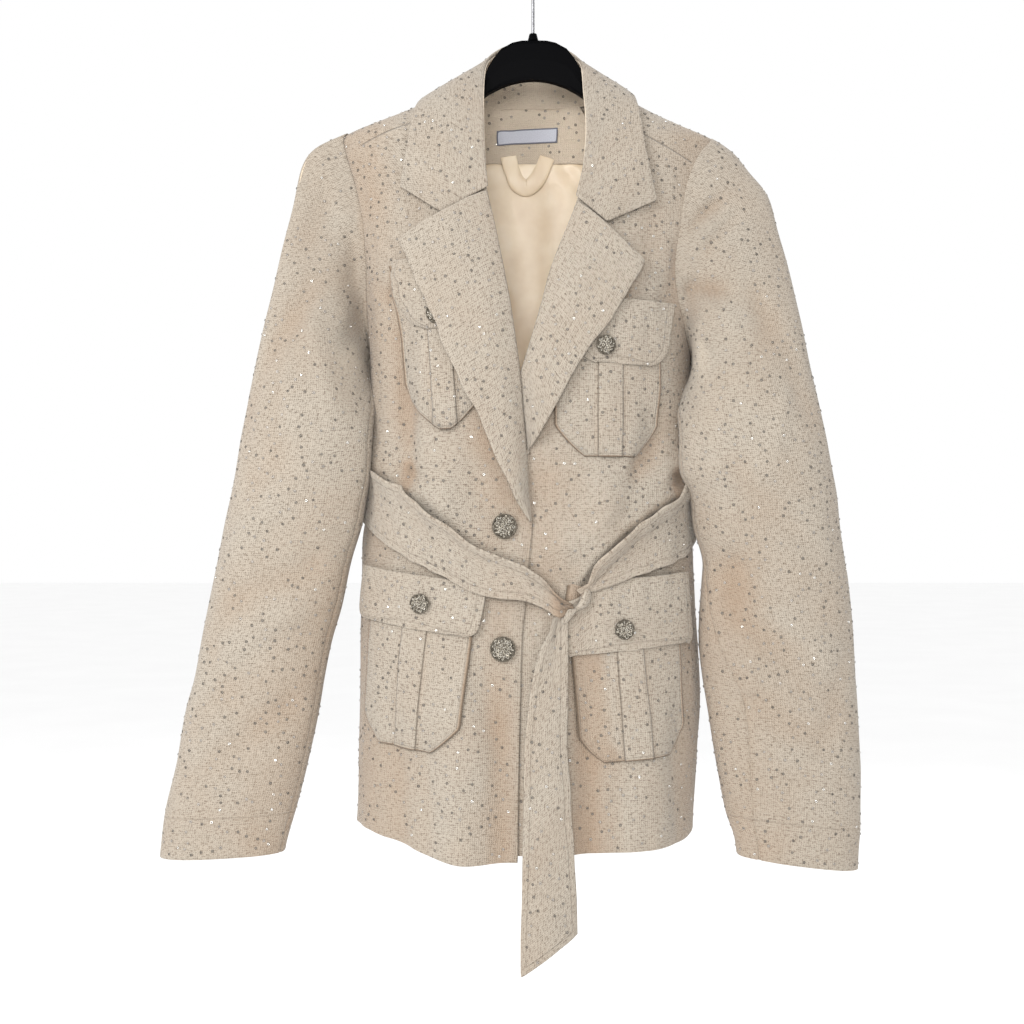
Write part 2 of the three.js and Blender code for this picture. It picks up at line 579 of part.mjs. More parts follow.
// Lapels lie on their front, lifted from the roll line outwards
function lapelPlace(roll, edge, gorge, lift, bend, keepOff) {
  return (u, v) => {
    const bottom = edge[0].z;
    const inZ = lerp(bottom, gorge, v);
    const outZ = lerp(bottom, edge[edge.length - 1].z, v);
    const inX = keepOff ? Math.max(read(roll, 'z', inZ).x, keepOff(inZ)) : read(roll, 'z', inZ).x;
    const outX = read(edge, 'z', outZ).x;
    const x = lerp(inX, outX, u);
    const z = lerp(inZ, outZ, u) + bend * Math.sin(Math.PI * u) * v ** 8;
    const p = placeOf(x, z);
    return { p, z, x, lift: lift * (1 - (1 - u) ** 2) * smooth(0, 0.1, v) };
  };
}

function addLapels() {
  const right = lapelPlace(rightFrontEdge, rightLapelEdge, -227, 12.6, 5, null);
  bodyWall('lapel_right', 7, 14, right, layer.lapel, clothWall, materials.tweed);
  const clearOfRight = (z) => read(rightFrontEdge, 'z', z).x + 0.8;
  const left = lapelPlace(leftFrontEdge, leftLapelEdge, -237, 10, 4, clearOfRight);
  const pressed = (u, v) => {
    const spot = left(u, v);
    return { ...spot, lift: spot.lift + underlap(bodyPlain(spot.p, spot.z)) };
  };
  bodyWall('lapel_left', 7, 13, pressed, layer.lapel, clothWall, materials.tweed);
}

// Collar
function stationRow(station, key, isFront) {
  const [x, y, z] = station[key];
  if (y === null) return new Vector3(x, depthAt(x, z, isFront) + (isFront ? -collarLift : collarLift), z);
  if (z === null) return new Vector3(x, y, heightAt(x, y) + collarLift);
  return new Vector3(x, y, z);
}

// The unfolded body's y at a place and height, and its height above a place
function depthAt(x, z, isFront) {
  const section = read(bodySections, 'z', z);
  const aside = Math.min(1, (Math.abs(x - section.mid) / section.half) ** (2 / roundness));
  return (isFront ? -section.front : section.back) * (1 - aside) ** (roundness / 2);
}

function heightAt(x, y) {
  let z = -230;
  while (z < shoulderTop && Math.abs(depthAt(x, z + 0.5, y < 0)) > Math.abs(y)) z += 0.5;
  return z;
}

function collarTrack(key) {
  const points = collarStations.map((station, i) => stationRow(station, key, i < 4 || i > 10));
  return new THREE.CatmullRomCurve3(points, false, 'centripetal');
}

function addCollar() {
  const tracks = { fold: collarTrack('fold'), half: collarTrack('half'), edge: collarTrack('edge') };
  const leaf = (u, v) => {
    const fold = tracks.fold.getPoint(u).add(new Vector3(0, 0, clothWall + 0.5));
    const half = tracks.half.getPoint(u);
    const edge = tracks.edge.getPoint(u);
    const sharp = smooth(0.1, 0, Math.min(u, 1 - u));
    const curved = fold.clone().multiplyScalar((1 - v) * (1 - 2 * v))
      .addScaledVector(half, 4 * v * (1 - v)).addScaledVector(edge, v * (2 * v - 1));
    const bent = v < 0.5 ? fold.lerp(half, v * 2) : half.clone().lerp(edge, v * 2 - 1);
    return curved.lerp(bent, sharp);
  };
  const leafNormal = (u, v) => {
    const along = leaf(Math.min(u + 0.004, 1), v).sub(leaf(Math.max(u - 0.004, 0), v));
    const down = leaf(u, Math.min(v + 0.02, 1)).sub(leaf(u, Math.max(v - 0.02, 0)));
    return down.cross(along).normalize();
  };
  const leafInner = (u, v) => leaf(u, v).addScaledVector(leafNormal(u, v), -clothWall);
  wall('collar_fall', 29, 7, leaf, leafInner, materials.tweed);

  // The stand rises from the neck seam to the fold, inside the leaf
  const seam = neckSeam();
  const neckAxis = (point) => new Vector3(-point.x, 10 - point.y, 0).normalize();
  const stand = (rise) => (u, v) => {
    const share = lerp(0.03, 0.97, u);
    const base = seam.getPoint(share);
    const point = base.lerp(tracks.fold.getPoint(share), v * 0.94);
    return point.addScaledVector(neckAxis(point), 0.8 + rise);
  };
  wall('collar_stand', 27, 4, stand(0), stand(clothWall), materials.tweed);
}

// The neck seam: up the right front's edge, round the back neck, and down the left front's edge
function neckSeam() {
  const points = [];
  const heights = [-226, -200, -166, -140];
  const edgePoint = (edges, z) => body(placeOf(read(edges, 'z', z).x, z), z).add(new Vector3(0, 0, 0.4));
  for (const z of heights) points.push(edgePoint(rightFrontEdge, z));
  for (const turn of [-0.88, -1.2, -1.6, 2, 1.6, 1.2, 0.88]) {
    const across = (2 - Math.abs(turn)) / (2 - forwardSeam);
    const point = body(turn, lerp(backNeck, shoulderTop, across ** 2), -clothWall);
    points.push(point.add(new Vector3(0, 0, 1.8)));
  }
  for (const z of heights.reverse()) points.push(edgePoint(leftFrontEdge, z - 4));
  return new THREE.CatmullRomCurve3(points, false, 'centripetal');
}

// Patch pockets with a raised box pleat, and their flaps
function patchPlace(x, z, wide, high, tilt, cut, columns, pleat) {
  const slope = Math.tan((tilt * Math.PI) / 180);
  return (u, v, i) => {
    const down = v * high;
    const inset = Math.max(0, down - (high - cut)) * 0.95;
    const across = columns[i] * (wide / 2 - inset);
    const level = z - down + (across * slope) * 0.9;
    const middle = placeOf(x + down * slope * 0.9, level);
    return { p: walk(middle, level, across), z: level, lift: pleat && Math.abs(columns[i]) < 0.23 ? pleat : 0 };
  };
}

function addPockets() {
  const bagColumns = [-1, -0.8, -0.52, -0.24, -0.215, 0, 0.215, 0.24, 0.52, 0.8, 1];
  const flapColumns = [-1, -0.8, -0.4, 0, 0.4, 0.8, 1];
  for (const pocket of pockets) {
    const { x, z, wide, high, tilt, cut, flapHigh, flapWide, flapShift = 0, seat = 0, button } = pocket;
    const bag = patchPlace(x, z, wide, high, tilt, cut, bagColumns, 0);
    const pleat = patchPlace(x, z, wide, high, tilt, cut, bagColumns, layer.pleatRise);
    const bagGrid = (place, rise) => (u, v, i) => {
      const spot = place(u, v, i);
      return body(spot.p, spot.z, layer.bag + seat + rise + spot.lift);
    };
    wall(`pocket_${pocket.name}`, bagColumns.length, 7, bagGrid(pleat, layer.bagWall), bagGrid(bag, 0), materials.tweed);
    const flap = patchPlace(x + flapShift, z + 2, flapWide, flapHigh, tilt, 12, flapColumns, 0);
    const flapGrid = (rise) => (u, v, i) => {
      const spot = flap(u, v, i);
      return body(spot.p, spot.z, layer.flap + seat + rise);
    };
    wall(`flap_${pocket.name}`, flapColumns.length, 5, flapGrid(layer.flapWall), flapGrid(0), materials.tweed);
    const height = z + button[1] + button[0] * Math.tan((tilt * Math.PI) / 180);
    addButton(`button_${pocket.name}`, x + button[0], height, layer.flap + seat + layer.flapWall, smallButton);
  }
}

// Domed metal button on a short shank
function addButton(name, x, z, base, { radius, thick }) {
  const p = placeOf(x, z);
  const shank = 1.3;
  const profile = [
    [0, 0], [radius * 0.35, 0], [radius * 0.35, shank], [radius * 0.86, shank + 0.3], [radius, shank + 1.2],
    [radius, shank + thick * 0.5], [radius * 0.88, shank + thick * 0.62], [radius * 0.8, shank + thick * 0.5],
    [radius * 0.5, shank + thick * 0.85], [0, shank + thick],
  ].map(([r, h]) => new THREE.Vector2(r, h));
  const lathe = new THREE.LatheGeometry(profile, 12);
  const mesh = new THREE.Mesh(weld(lathe), materials.button);
  const normal = bodyNormal(p, z);
  mesh.name = name;
  mesh.position.copy(body(p, z, base + seamGap));
  mesh.quaternion.setFromUnitVectors(new Vector3(0, 1, 0), normal);
  blazer.add(mesh);
}

// Joins the doubled points of a turned or extruded shape, and drops its empty faces
function weld(geometry) {
  const source = geometry.index ? geometry.toNonIndexed() : geometry;
  const array = source.getAttribute('position').array;
  const keys = new Map();
  const positions = [];
  const index = [];
  const cornerOf = (k) => {
    const key = [0, 1, 2].map((c) => Math.round(array[3 * k + c] * 1e4)).join(',');
    if (!keys.has(key)) {
      keys.set(key, positions.length / 3);
      positions.push(array[3 * k], array[3 * k + 1], array[3 * k + 2]);
    }
    return keys.get(key);
  };
  for (let k = 0; k < array.length / 3; k += 3) {
    const [a, b, c] = [cornerOf(k), cornerOf(k + 1), cornerOf(k + 2)];
    if (a !== b && b !== c && a !== c) index.push(a, b, c);
  }
  const result = new THREE.BufferGeometry();
  result.setAttribute('position', new THREE.Float32BufferAttribute(positions, 3));
  result.setIndex(index);
  result.computeVertexNormals();
  return result;
}

// Belt
function beltStretch(rows) {
  const level = rows[Math.floor(rows.length / 2)].top;
  const first = placeOf(rows[0].x, rows[0].top - bandWidth / 2);
  const last = placeOf(rows[rows.length - 1].x, rows[rows.length - 1].top - bandWidth / 2);
  return (u, v) => {
    const p = lerp(first, last, u);
    const edge = read(rows, 'x', bodyPlain(p, level).x);
    return {
      p,
      z: lerp(edge.bottom, edge.top, v),
      lift: (layer.beltSide - layer.belt) * smooth(0.5, 0.8, Math.abs(p)),
    };
  };
}

function addBelt() {
  const { belt, beltSide, beltWall, knot } = layer;
  bodyWall('belt_front_right', 19, 4, beltStretch(beltRightFront), belt, beltWall, materials.tweed);
  bodyWall('belt_front_left', 15, 4, beltStretch(beltLeftFront), belt, beltWall, materials.tweed);
  const rightEnd = beltRightFront[0];
  const leftEnd = beltLeftFront[beltLeftFront.length - 1];
  const back = (u, v) => {
    const p = lerp(-1.004, -2.996, u);
    const top = lerp(rightEnd.top, leftEnd.top, smooth(0, 1, u)) - 4 * Math.sin(Math.PI * u);
    return { p, z: top - bandWidth * (1 - v) };
  };
  bodyWall('belt_back', 25, 4, back, beltSide, beltWall, materials.tweed);
  const tail = (rows, end) => (u, v) => {
    const lowest = rows[rows.length - 1];
    const cornerZ = lerp(end, lowest.z, u);
    const z = lerp(cornerZ, rows[0].z, v);
    const edge = read(rows, 'z', Math.max(z, lowest.z));
    const x = lerp(edge.left, edge.right, u);
    return { p: placeOf(x, z), z };
  };
  bodyWall('belt_tail', 5, 15, tail(beltTail, tailPoint), belt, beltWall, materials.tweed);
  bodyWall('belt_tail_inner', 4, 9, tail(innerTail, -812), 1, beltWall, materials.tweed);
  const knotFold = (u, v) => {
    const middle = { x: lerp(41.5, 28.5, v), z: lerp(-586, -617, v) };
    const half = 3.6;
    const x = middle.x + half * (u * 2 - 1);
    const z = middle.z - half * 0.45 * (u * 2 - 1);
    return { p: placeOf(x, z), z, lift: 1.6 * Math.sin(Math.PI * u) };
  };
  bodyWall('belt_knot', 5, 6, knotFold, knot, 1.8, materials.tweed);
}

// Inside the neck: facing, lining, hanging loop and a blank label
const liningReach = [
  { z: -776, q: 0.86 }, { z: -420, q: 0.8 }, { z: -375, q: 0.72 }, { z: -300, q: 0.66 }, { z: -215, q: 0.6 },
  { z: -190, q: 0.4 }, { z: -172, q: 0.26 },
];

function insideWall(name, columns, rows, place, deep, thick, material) {
  const grid = (rise) => (u, v) => {
    const { p, z, lift = 0 } = place(u, v);
    return body(p, z, -(clothWall + deep) - rise - lift);
  };
  wall(name, columns, rows, grid(0), grid(thick), material);
}

function addInside() {
  const facing = (u, v) => ({ p: 2 + lerp(-1, 1, u) * lerp(0.24, 0.4, v), z: lerp(-171, -127, v) });
  insideWall('neck_facing', 11, 5, facing, 3.4, 1.4, materials.tweed);
  const lining = (u, v) => {
    const z = lerp(-776, -172, rowShare(v));
    const pleat = 3 * Math.exp(-(((u - 0.5) / 0.05) ** 2)) * v;
    return { p: 2 + lerp(-1, 1, u) * read(liningReach, 'z', z).q, z, lift: pleat };
  };
  insideWall('lining_back', 21, 15, lining, 3.2, 0.8, materials.lining);
  const label = (u, v) => ({ p: 2.015 + 0.105 * (u * 2 - 1), z: lerp(-152.5, -140, v) });
  insideWall('label', 5, 2, label, 5.5, 0.7, materials.label);
  const loop = (u, v) => {
    const across = u * 2 - 1;
    return { p: 2.012 + 0.055 * across, z: -202 + 29 * Math.abs(across) ** 1.3 + 4 * v, lift: 3 - 3 * across ** 2 };
  };
  insideWall('hanging_loop', 9, 2, loop, 5.4, 1, materials.lining);
}

// Hanger: a plate at the neck that runs out into two arms under the shoulders
const plateTop = [
  { x: 0, z: -70 }, { x: 15, z: -70.5 }, { x: 24, z: -73.5 }, { x: 32, z: -79 }, { x: 38, z: -87.5 },
  { x: 41.5, z: -97 }, { x: 46, z: -108 }, { x: 51, z: -119 }, { x: 58, z: -125 },
];

// Height of the shoulder's inside at a distance from the middle
function roof(x) {
  let z = -175;
  const inside = (level) => Math.min(-body(-1, level, -clothWall).x, body(1, level, -clothWall).x);
  while (z < shoulderTop - 2 && inside(z + 0.5) > x) z += 0.5;
  return z;
}

function addHanger() {
  const stations = [];
  const count = 28;
  for (let i = 0; i <= count; i += 1) {
    const share = (i / count) * 2 - 1;
    stations.push(hanger.armEnd * signedPower(share, 1.35));
  }
  const outline = (x) => {
    const reach = Math.abs(x);
    const arm = roof(reach) - hanger.clear;
    const top = reach < 58 ? read(plateTop, 'x', reach).z : arm;
    const middleBottom = -109 - 14 * (reach / 45) ** 2;
    return { top: Math.min(top, reach > 50 ? arm : 0), bottom: Math.max(middleBottom, arm - hanger.armHigh - 6 * smooth(90, 50, reach)) };
  };
  const sides = 12;
  const positions = [];
  const index = [];
  for (const x of stations) {
    const { top, bottom } = outline(x);
    const half = hanger.halfThick * lerp(1, 0.8, Math.abs(x) / hanger.armEnd);
    for (let k = 0; k < sides; k += 1) {
      const a = (k / sides) * Math.PI * 2;
      const z = (top + bottom) / 2 + ((top - bottom) / 2) * signedPower(Math.sin(a), 0.35);
      positions.push(x, half * signedPower(Math.cos(a), 0.35), z);
    }
  }
  for (let s = 0; s < count; s += 1) {
    for (let k = 0; k < sides; k += 1) {
      const a = s * sides + k;
      const b = s * sides + ((k + 1) % sides);
      index.push(a, b, b + sides, a, b + sides, a + sides);
    }
  }
  for (let k = 1; k < sides - 1; k += 1) {
    const last = count * sides;
    index.push(0, k + 1, k, last, last + k, last + k + 1);
  }
  addSolid('hanger_body', positions, index, materials.plastic);

  const { wire, radius, ferruleTop, ferruleRadius } = hook;
  const collarProfile = [
    [0, hanger.top + 0.3], [ferruleRadius + 1.6, hanger.top + 0.3], [ferruleRadius, hanger.top + 4],
    [ferruleRadius - 0.4, ferruleTop], [0, ferruleTop],
  ].map(([r, h]) => new THREE.Vector2(r, h));
  const ferrule = new THREE.Mesh(weld(new THREE.LatheGeometry(collarProfile, 14)), materials.plastic);
  ferrule.name = 'hanger_ferrule';
  ferrule.rotation.x = Math.PI / 2;
  blazer.add(ferrule);

  const centre = wire - radius;
  const route = [new Vector3(0, 0, ferruleTop + 0.3), new Vector3(0, 0, -52), new Vector3(1.5, 0, -44)];
  for (let degrees = -62; degrees <= 205; degrees += 17.8) {
    const a = (degrees * Math.PI) / 180;
    route.push(new Vector3(radius * Math.cos(a), 0, centre + radius * Math.sin(a)));
  }
  const wireSection = new THREE.Shape();
  wireSection.absarc(0, 0, wire, 0, Math.PI * 2);
  const tube = new THREE.ExtrudeGeometry(wireSection, {
    steps: 30,
    curveSegments: 5,
    bevelEnabled: false,
    extrudePath: new THREE.CatmullRomCurve3(route, false, 'centripetal'),
  });
  const hookMesh = new THREE.Mesh(weld(tube), materials.steel);
  hookMesh.name = 'hanger_hook';
  blazer.add(hookMesh);
}

addFronts();
addBack();
addSleeve(rightSleeve, 'right');
addSleeve(leftSleeve, 'left');
addLapels();
addCollar();
addPockets();
for (const { name, x, z } of frontButtons) addButton(name, x, z, 0, largeButton);
addBelt();
addInside();
addHanger();

export default blazer;
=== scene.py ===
import bpy
import math
import numpy as np
from mathutils import Matrix, Vector


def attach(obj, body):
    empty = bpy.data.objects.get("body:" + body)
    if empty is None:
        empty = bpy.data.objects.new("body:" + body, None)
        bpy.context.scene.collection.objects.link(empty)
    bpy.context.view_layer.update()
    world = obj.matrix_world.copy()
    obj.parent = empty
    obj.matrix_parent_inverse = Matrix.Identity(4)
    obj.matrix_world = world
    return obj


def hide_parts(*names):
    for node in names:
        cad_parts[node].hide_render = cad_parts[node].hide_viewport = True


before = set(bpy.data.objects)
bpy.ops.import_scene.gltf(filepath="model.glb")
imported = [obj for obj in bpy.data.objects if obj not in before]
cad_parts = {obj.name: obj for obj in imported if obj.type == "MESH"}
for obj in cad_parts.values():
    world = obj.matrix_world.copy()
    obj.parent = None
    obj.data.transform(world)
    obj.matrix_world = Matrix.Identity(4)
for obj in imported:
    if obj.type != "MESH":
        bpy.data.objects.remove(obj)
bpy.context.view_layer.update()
print("frame loaded")

# Everything below is worked out in millimetres, in the frame's own place, and made metres in the meshes.
mm = 0.001


def rowsTable(names, rows):
    return dict(zip(names.split(), np.array(rows, float).T))


def readTable(table, key, at):
    # smooth interpolation of every column of a table
    sign = 1 if table[key][0] < table[key][-1] else -1
    keys = table[key] * sign
    at = np.asarray(at, float)
    i = np.clip(np.searchsorted(keys, at * sign, side="right") - 1, 0, len(keys) - 2)
    span = keys[i + 1] - keys[i]
    t = np.clip((at * sign - keys[i]) / span, 0, 1)
    found = {}
    for name, values in table.items():
        def slope(k):
            a, b = np.maximum(k - 1, 0), np.minimum(k + 1, len(keys) - 1)
            return (values[b] - values[a]) / (keys[b] - keys[a])
        found[name] = (values[i] * (2 * t**3 - 3 * t**2 + 1) + values[i + 1] * (3 * t**2 - 2 * t**3)
                       + span * (slope(i) * (t**3 - 2 * t**2 + t) + slope(i + 1) * (t**3 - t**2)))
    found[key] = at
    return found


def mix(a, b, t):
    return a + (b - a) * t


def smooth(a, b, value):
    t = np.clip((value - a) / (b - a), 0, 1)
    return t * t * (3 - 2 * t)


def bell(value, width):
    return np.exp(-(value / width) ** 2)


def unitGrid(columns, rows):
    return np.meshgrid(np.linspace(0, 1, columns), np.linspace(0, 1, rows))


def unit(vectors):
    return vectors / np.linalg.norm(vectors, axis=-1, keepdims=True)


def signedPower(value, power):
    return np.sign(value) * np.abs(value) ** power


def softNoise(x, y, seed=0):
    # value noise on a unit lattice, from -1 to 1
    xi, yi = np.floor(x), np.floor(y)
    fx, fy = x - xi, y - yi
    fx, fy = fx * fx * (3 - 2 * fx), fy * fy * (3 - 2 * fy)

    def corner(a, b):
        value = np.sin(a * 127.1 + b * 311.7 + seed * 74.7) * 43758.5453
        return (value - np.floor(value)) * 2 - 1
    low = mix(corner(xi, yi), corner(xi + 1, yi), fx)
    high = mix(corner(xi, yi + 1), corner(xi + 1, yi + 1), fx)
    return mix(low, high, fy)


# The body of the coat: sections of height, middle, half width, and depth in front and behind
coat = {
    "roundness": 0.83,
    "shoulderSeam": 0.88,
    "shoulderTop": -116,
    "armholeTop": -162,
    "underarm": -375,
    "backHem": -806,
    "frontHem": -820,
    "backNeck": -120,
    "wall": 2.0,
    "ripple": 0.7,          # height of the cloth's small unevenness
    "relief": 1.25,         # how deep the folds below are, all together
    "beltTop": rowsTable("x z", [
        (-163, -474), (-142, -480), (-111, -498), (-80, -520), (-48, -546), (-6, -563), (20, -580),
        (33, -592), (44, -573), (70, -544), (101, -520), (125, -505), (150, -492)]),
    "sections": rowsTable("z mid half front back", [
        (-960, -9, 158, 93, 88), (-840, -9, 158, 92, 87), (-700, -3, 160, 88, 84),
        (-600, -5, 157.5, 84, 77), (-520, -5, 154.5, 79, 70), (-450, -4, 152, 79, 74),
        (-375, -3, 151, 78, 79), (-300, -3, 156, 73, 80), (-250, -3, 162, 66, 78), (-210, -3, 168, 58, 75),
        (-190, -3, 173, 53, 73), (-172, -3, 177, 48, 71), (-164, -3, 176, 46, 70), (-158, -3, 166, 44, 69),
        (-149, -3, 144, 41, 68), (-140, -3, 121, 38, 66), (-130, -2, 98, 35, 64), (-122, -1, 81, 32, 62),
        (-114, 0, 64, 29, 60), (-106, 0, 48, 26, 58)]),
    # upright folds: x above, x below, top, bottom, width, depth, and 1 in front or -1 behind
    "folds": [
        (-74, -62, -600, -900, 18, 4.5, 1), (-34, -26, -630, -900, 15, -5, 1),
        (-128, -118, -640, -900, 13, -4, 1), (50, 46, -605, -900, 18, -6, 1),
        (100, 112, -640, -900, 20, 4, 1), (-122, -114, -300, -490, 13, -6, 1),
        (-90, -70, -415, -550, 18, 4, 1), (66, 52, -470, -575, 22, 4, 1),
        (112, 104, -400, -520, 14, -4, 1), (-95, -70, -210, -480, 15, -5.5, -1),
        (95, 66, -210, -480, 15, -5.5, -1), (0, 0, -330, -500, 20, 4, -1),
        (-48, -66, -520, -900, 15, -6, -1), (2, 4, -520, -900, 17, 6, -1),
        (52, 72, -520, -900, 15, -6, -1), (-108, -116, -560, -900, 14, 4, -1),
        (108, 118, -560, -900, 14, 4, -1)],
    # slanting creases: from x, z to x, z, with width, depth and face
    "creases": [
        (-131, -352, -108, -486, 8, -3.2, 1), (-104, -420, -82, -530, 10, 1.6, 1),
        (-60, -470, -20, -560, 9, -1.5, 1), (128, -430, 60, -540, 9, -2.0, 1),
        (140, -455, 92, -520, 8, 1.6, 1), (96, -482, 40, -556, 9, 1.5, 1),
        (-140, -300, -118, -372, 9, -2.4, 1), (132, -262, 122, -350, 10, -2.2, 1),
        (118, -205, 96, -300, 12, -1.6, 1), (-60, -640, -44, -760, 10, 2.2, 1),
        (-96, -700, -104, -860, 9, -2.0, 1), (30, -650, 34, -860, 9, 2.0, 1),
        (70, -700, 78, -860, 9, -1.8, 1), (128, -650, 136, -860, 10, -2.0, 1),
        (-120, -200, -104, -262, 10, -1.6, 1), (-130, -300, -60, -440, 12, -2.4, -1),
        (128, -300, 62, -440, 12, -2.4, -1), (-100, -420, -40, -500, 9, 2.0, -1),
        (-131, -290, -131, -330, 3.5, -3.0, 1), (-121, -468, -109, -497, 8, -4.5, 1),
        (131, -478, 129, -499, 6, -4.5, 1), (104, -455, 84, -520, 8, -1.8, 1),
        (100, -420, 44, -500, 9, 2.0, -1), (-26, -540, -34, -700, 8, 2.0, -1),
        (30, -540, 38, -700, 8, 2.0, -1), (-90, -540, -98, -690, 9, -2.4, -1),
        (92, -540, 98, -690, 9, -2.4, -1), (-60, -180, 60, -186, 14, -1.2, -1)],
}
rightFrontEdge = rowsTable("z x", [
    (-960, -17), (-829, -16), (-737, -15), (-676, -13.5), (-628, -12), (-599, -9), (-562, -6), (-525, -3),
    (-488, -6), (-453, -8), (-425, -10.5), (-391, -13.5), (-364, -17), (-330, -22), (-303, -27), (-278, -32),
    (-251, -37.5), (-227, -43), (-200, -48), (-170, -54), (-140, -60), (-116, -65)])
leftFrontEdge = rowsTable("z x", [
    (-960, -52), (-829, -52), (-628, -50), (-500, -46), (-450, -31), (-420, -21.5), (-391, -12), (-364, -3),
    (-330, 7), (-303, 14), (-278, 23), (-237, 39), (-210, 46), (-170, 54), (-140, 60), (-116, 64)])
armholeFront = {
    -1: rowsTable("t q z", [
        (0, .88, -162), (.1, .87, -180), (.25, .84, -213), (.4, .80, -250), (.6, .84, -292), (.75, .91, -325),
        (.9, .97, -357), (1, 1, -375)]),
    1: rowsTable("t q z", [
        (0, .88, -162), (.04, .77, -167), (.1, .68, -180), (.25, .63, -212), (.5, .62, -270),
        (.75, .68, -325), (.9, .84, -361), (1, 1, -375)]),
}
armholeBack = rowsTable("t q z", [
    (0, .88, -162), (.06, 1, -163), (.15, 1.16, -177), (.3, 1.26, -213), (.5, 1.26, -268), (.75, 1.2, -325),
    (.9, 1.1, -362), (1, 1, -375)])


def bodyPlain(p, z):
    section = readTable(coat["sections"], "z", z)
    angle = p * np.pi / 2
    x = section["mid"] + section["half"] * signedPower(np.sin(angle), coat["roundness"])
    depth = np.where(np.cos(angle) > 0, section["front"], section["back"])
    y = -depth * signedPower(np.cos(angle), coat["roundness"])
    return np.stack([x, y, np.broadcast_to(section["z"], x.shape)], -1)


def creaseAt(x, z, crease, bow):
    # a soft trough or ridge along a slanting line, seen from in front
    x0, z0, x1, z1, width, depth = crease
    length = math.hypot(x1 - x0, z1 - z0)
    ux, uz = (x1 - x0) / length, (z1 - z0) / length
    along = ((x - x0) * ux + (z - z0) * uz) / length
    aside = (x - x0) * uz - (z - z0) * ux + bow * np.sin(along * 5 + x0)
    wide = width * (0.7 + 0.6 * np.clip(along, 0, 1))
    return depth * bell(aside, wide) * smooth(-.1, .3, along) * smooth(1.1, .65, along)


def foldsAt(point):
    x, y, z = point[..., 0], point[..., 1], point[..., 2]
    total = np.zeros_like(x)
    for top, bottom, high, low, width, depth, face in coat["folds"]:
        onFace = smooth(6, -14, y * face)
        along = np.clip((high - z) / (high - low), 0, 1)
        fade = smooth(0, .35, along) * (1 if low < -850 else smooth(1, .6, along))
        total += depth * fade * onFace * bell(x - mix(top, bottom, along), width)
    for crease in coat["creases"]:
        total += creaseAt(x, z, crease[:6], 4) * smooth(6, -14, y * crease[6])
    total *= coat["relief"]
    # the cloth swells a little over the belt and is drawn in under it
    t = np.clip((x + 160) / 310, 0, 1)
    line = mix(-508, -505 - 85 * np.sin(np.pi * np.clip(t * .9 + .02, 0, 1)) ** 1.5, smooth(20, -40, y))
    above = z - line
    total += 3.5 * bell(above - 46, 20) - 2.5 * bell(above, 26)
    # in front it rolls over the belt's upper edge
    over = z - readTable(coat["beltTop"], "x", np.clip(x, -160, 149))["z"]
    total += mix(3.0, 6.5, smooth(-20, 40, x)) * bell(over - 3, 8) * smooth(-20, -45, y)
    # short gathers under and over the belt
    gather = np.sin(x * .23 + 1.3 * np.sin(x * .06)) * bell(np.abs(above) - 34, 22)
    return total + 0.5 * gather


def bodyFolded(p, z):
    point = bodyPlain(p, z)
    out = unit(np.stack([point[..., 0] * .35, point[..., 1], np.zeros_like(z * p)], -1))
    around, up = p * 11, z / 46
    ripple = softNoise(around, up, 3) + .6 * softNoise(around * 2.1, up * 1.7, 5)
    rise = foldsAt(point) + coat["ripple"] * ripple
    # the wearer's left shoulder hangs a little lower
    lower = 4.5 * smooth(60, 150, point[..., 0]) * smooth(-300, -190, z)
    return point + out * rise[..., None] - np.stack([0 * lower, 0 * lower, lower], -1)


def body(p, z, out=0.0):
    p, z = np.broadcast_arrays(np.asarray(p, float), np.asarray(z, float))
    around = bodyFolded(p + .004, z) - bodyFolded(p - .004, z)
    up = bodyFolded(p, z + 1.5) - bodyFolded(p, z - 1.5)
    return bodyFolded(p, z) + unit(np.cross(around, up)) * np.asarray(out, float)[..., None]


def placeOf(x, z):
    section = readTable(coat["sections"], "z", z)
    share = np.clip((x - section["mid"]) / section["half"], -1, 1)
    return np.arcsin(signedPower(share, 1 / coat["roundness"])) * 2 / np.pi


def walk(p, z, distance, steps=16):
    # a way round the body in millimetres, at one height
    place = p + 0 * distance
    for step in range(steps):
        speed = np.linalg.norm(bodyPlain(place + .002, z) - bodyPlain(place - .002, z), axis=-1) / .004
        place = place + distance / steps / np.maximum(speed, 30)
    return place


def depthAt(x, z, isFront):
    section = readTable(coat["sections"], "z", z)
    aside = np.minimum(1, (np.abs(x - section["mid"]) / section["half"]) ** (2 / coat["roundness"]))
    return float((-section["front"] if isFront else section["back"]) * (1 - aside) ** (coat["roundness"] / 2))


def heightAt(x, y):
    z = -230.0
    while z < coat["shoulderTop"] and abs(depthAt(x, z + .5, y < 0)) > abs(y):
        z += .5
    return z


def underlap(x, z):
    edge = readTable(rightFrontEdge, "z", np.maximum(z, -900))["x"]
    return -(coat["wall"] + .9) * smooth(edge + 14, edge + 4, x)


# Cloth as closed shells
shells = {}
noLine = 99     # stands for a stitch line or a seam that isn't there

def normalsOf(grid):
    down = np.gradient(grid, axis=0)
    across = np.gradient(grid, axis=1)
    normal = np.cross(across, down)
    return normal / np.maximum(np.linalg.norm(normal, axis=-1, keepdims=True), 1e-9)


def arcs(grid, axis):
    steps = np.linalg.norm(np.diff(grid, axis=axis), axis=-1)
    pad = [(0, 0), (0, 0)]
    pad[axis] = (1, 0)
    return np.pad(np.cumsum(steps, axis=axis), pad)


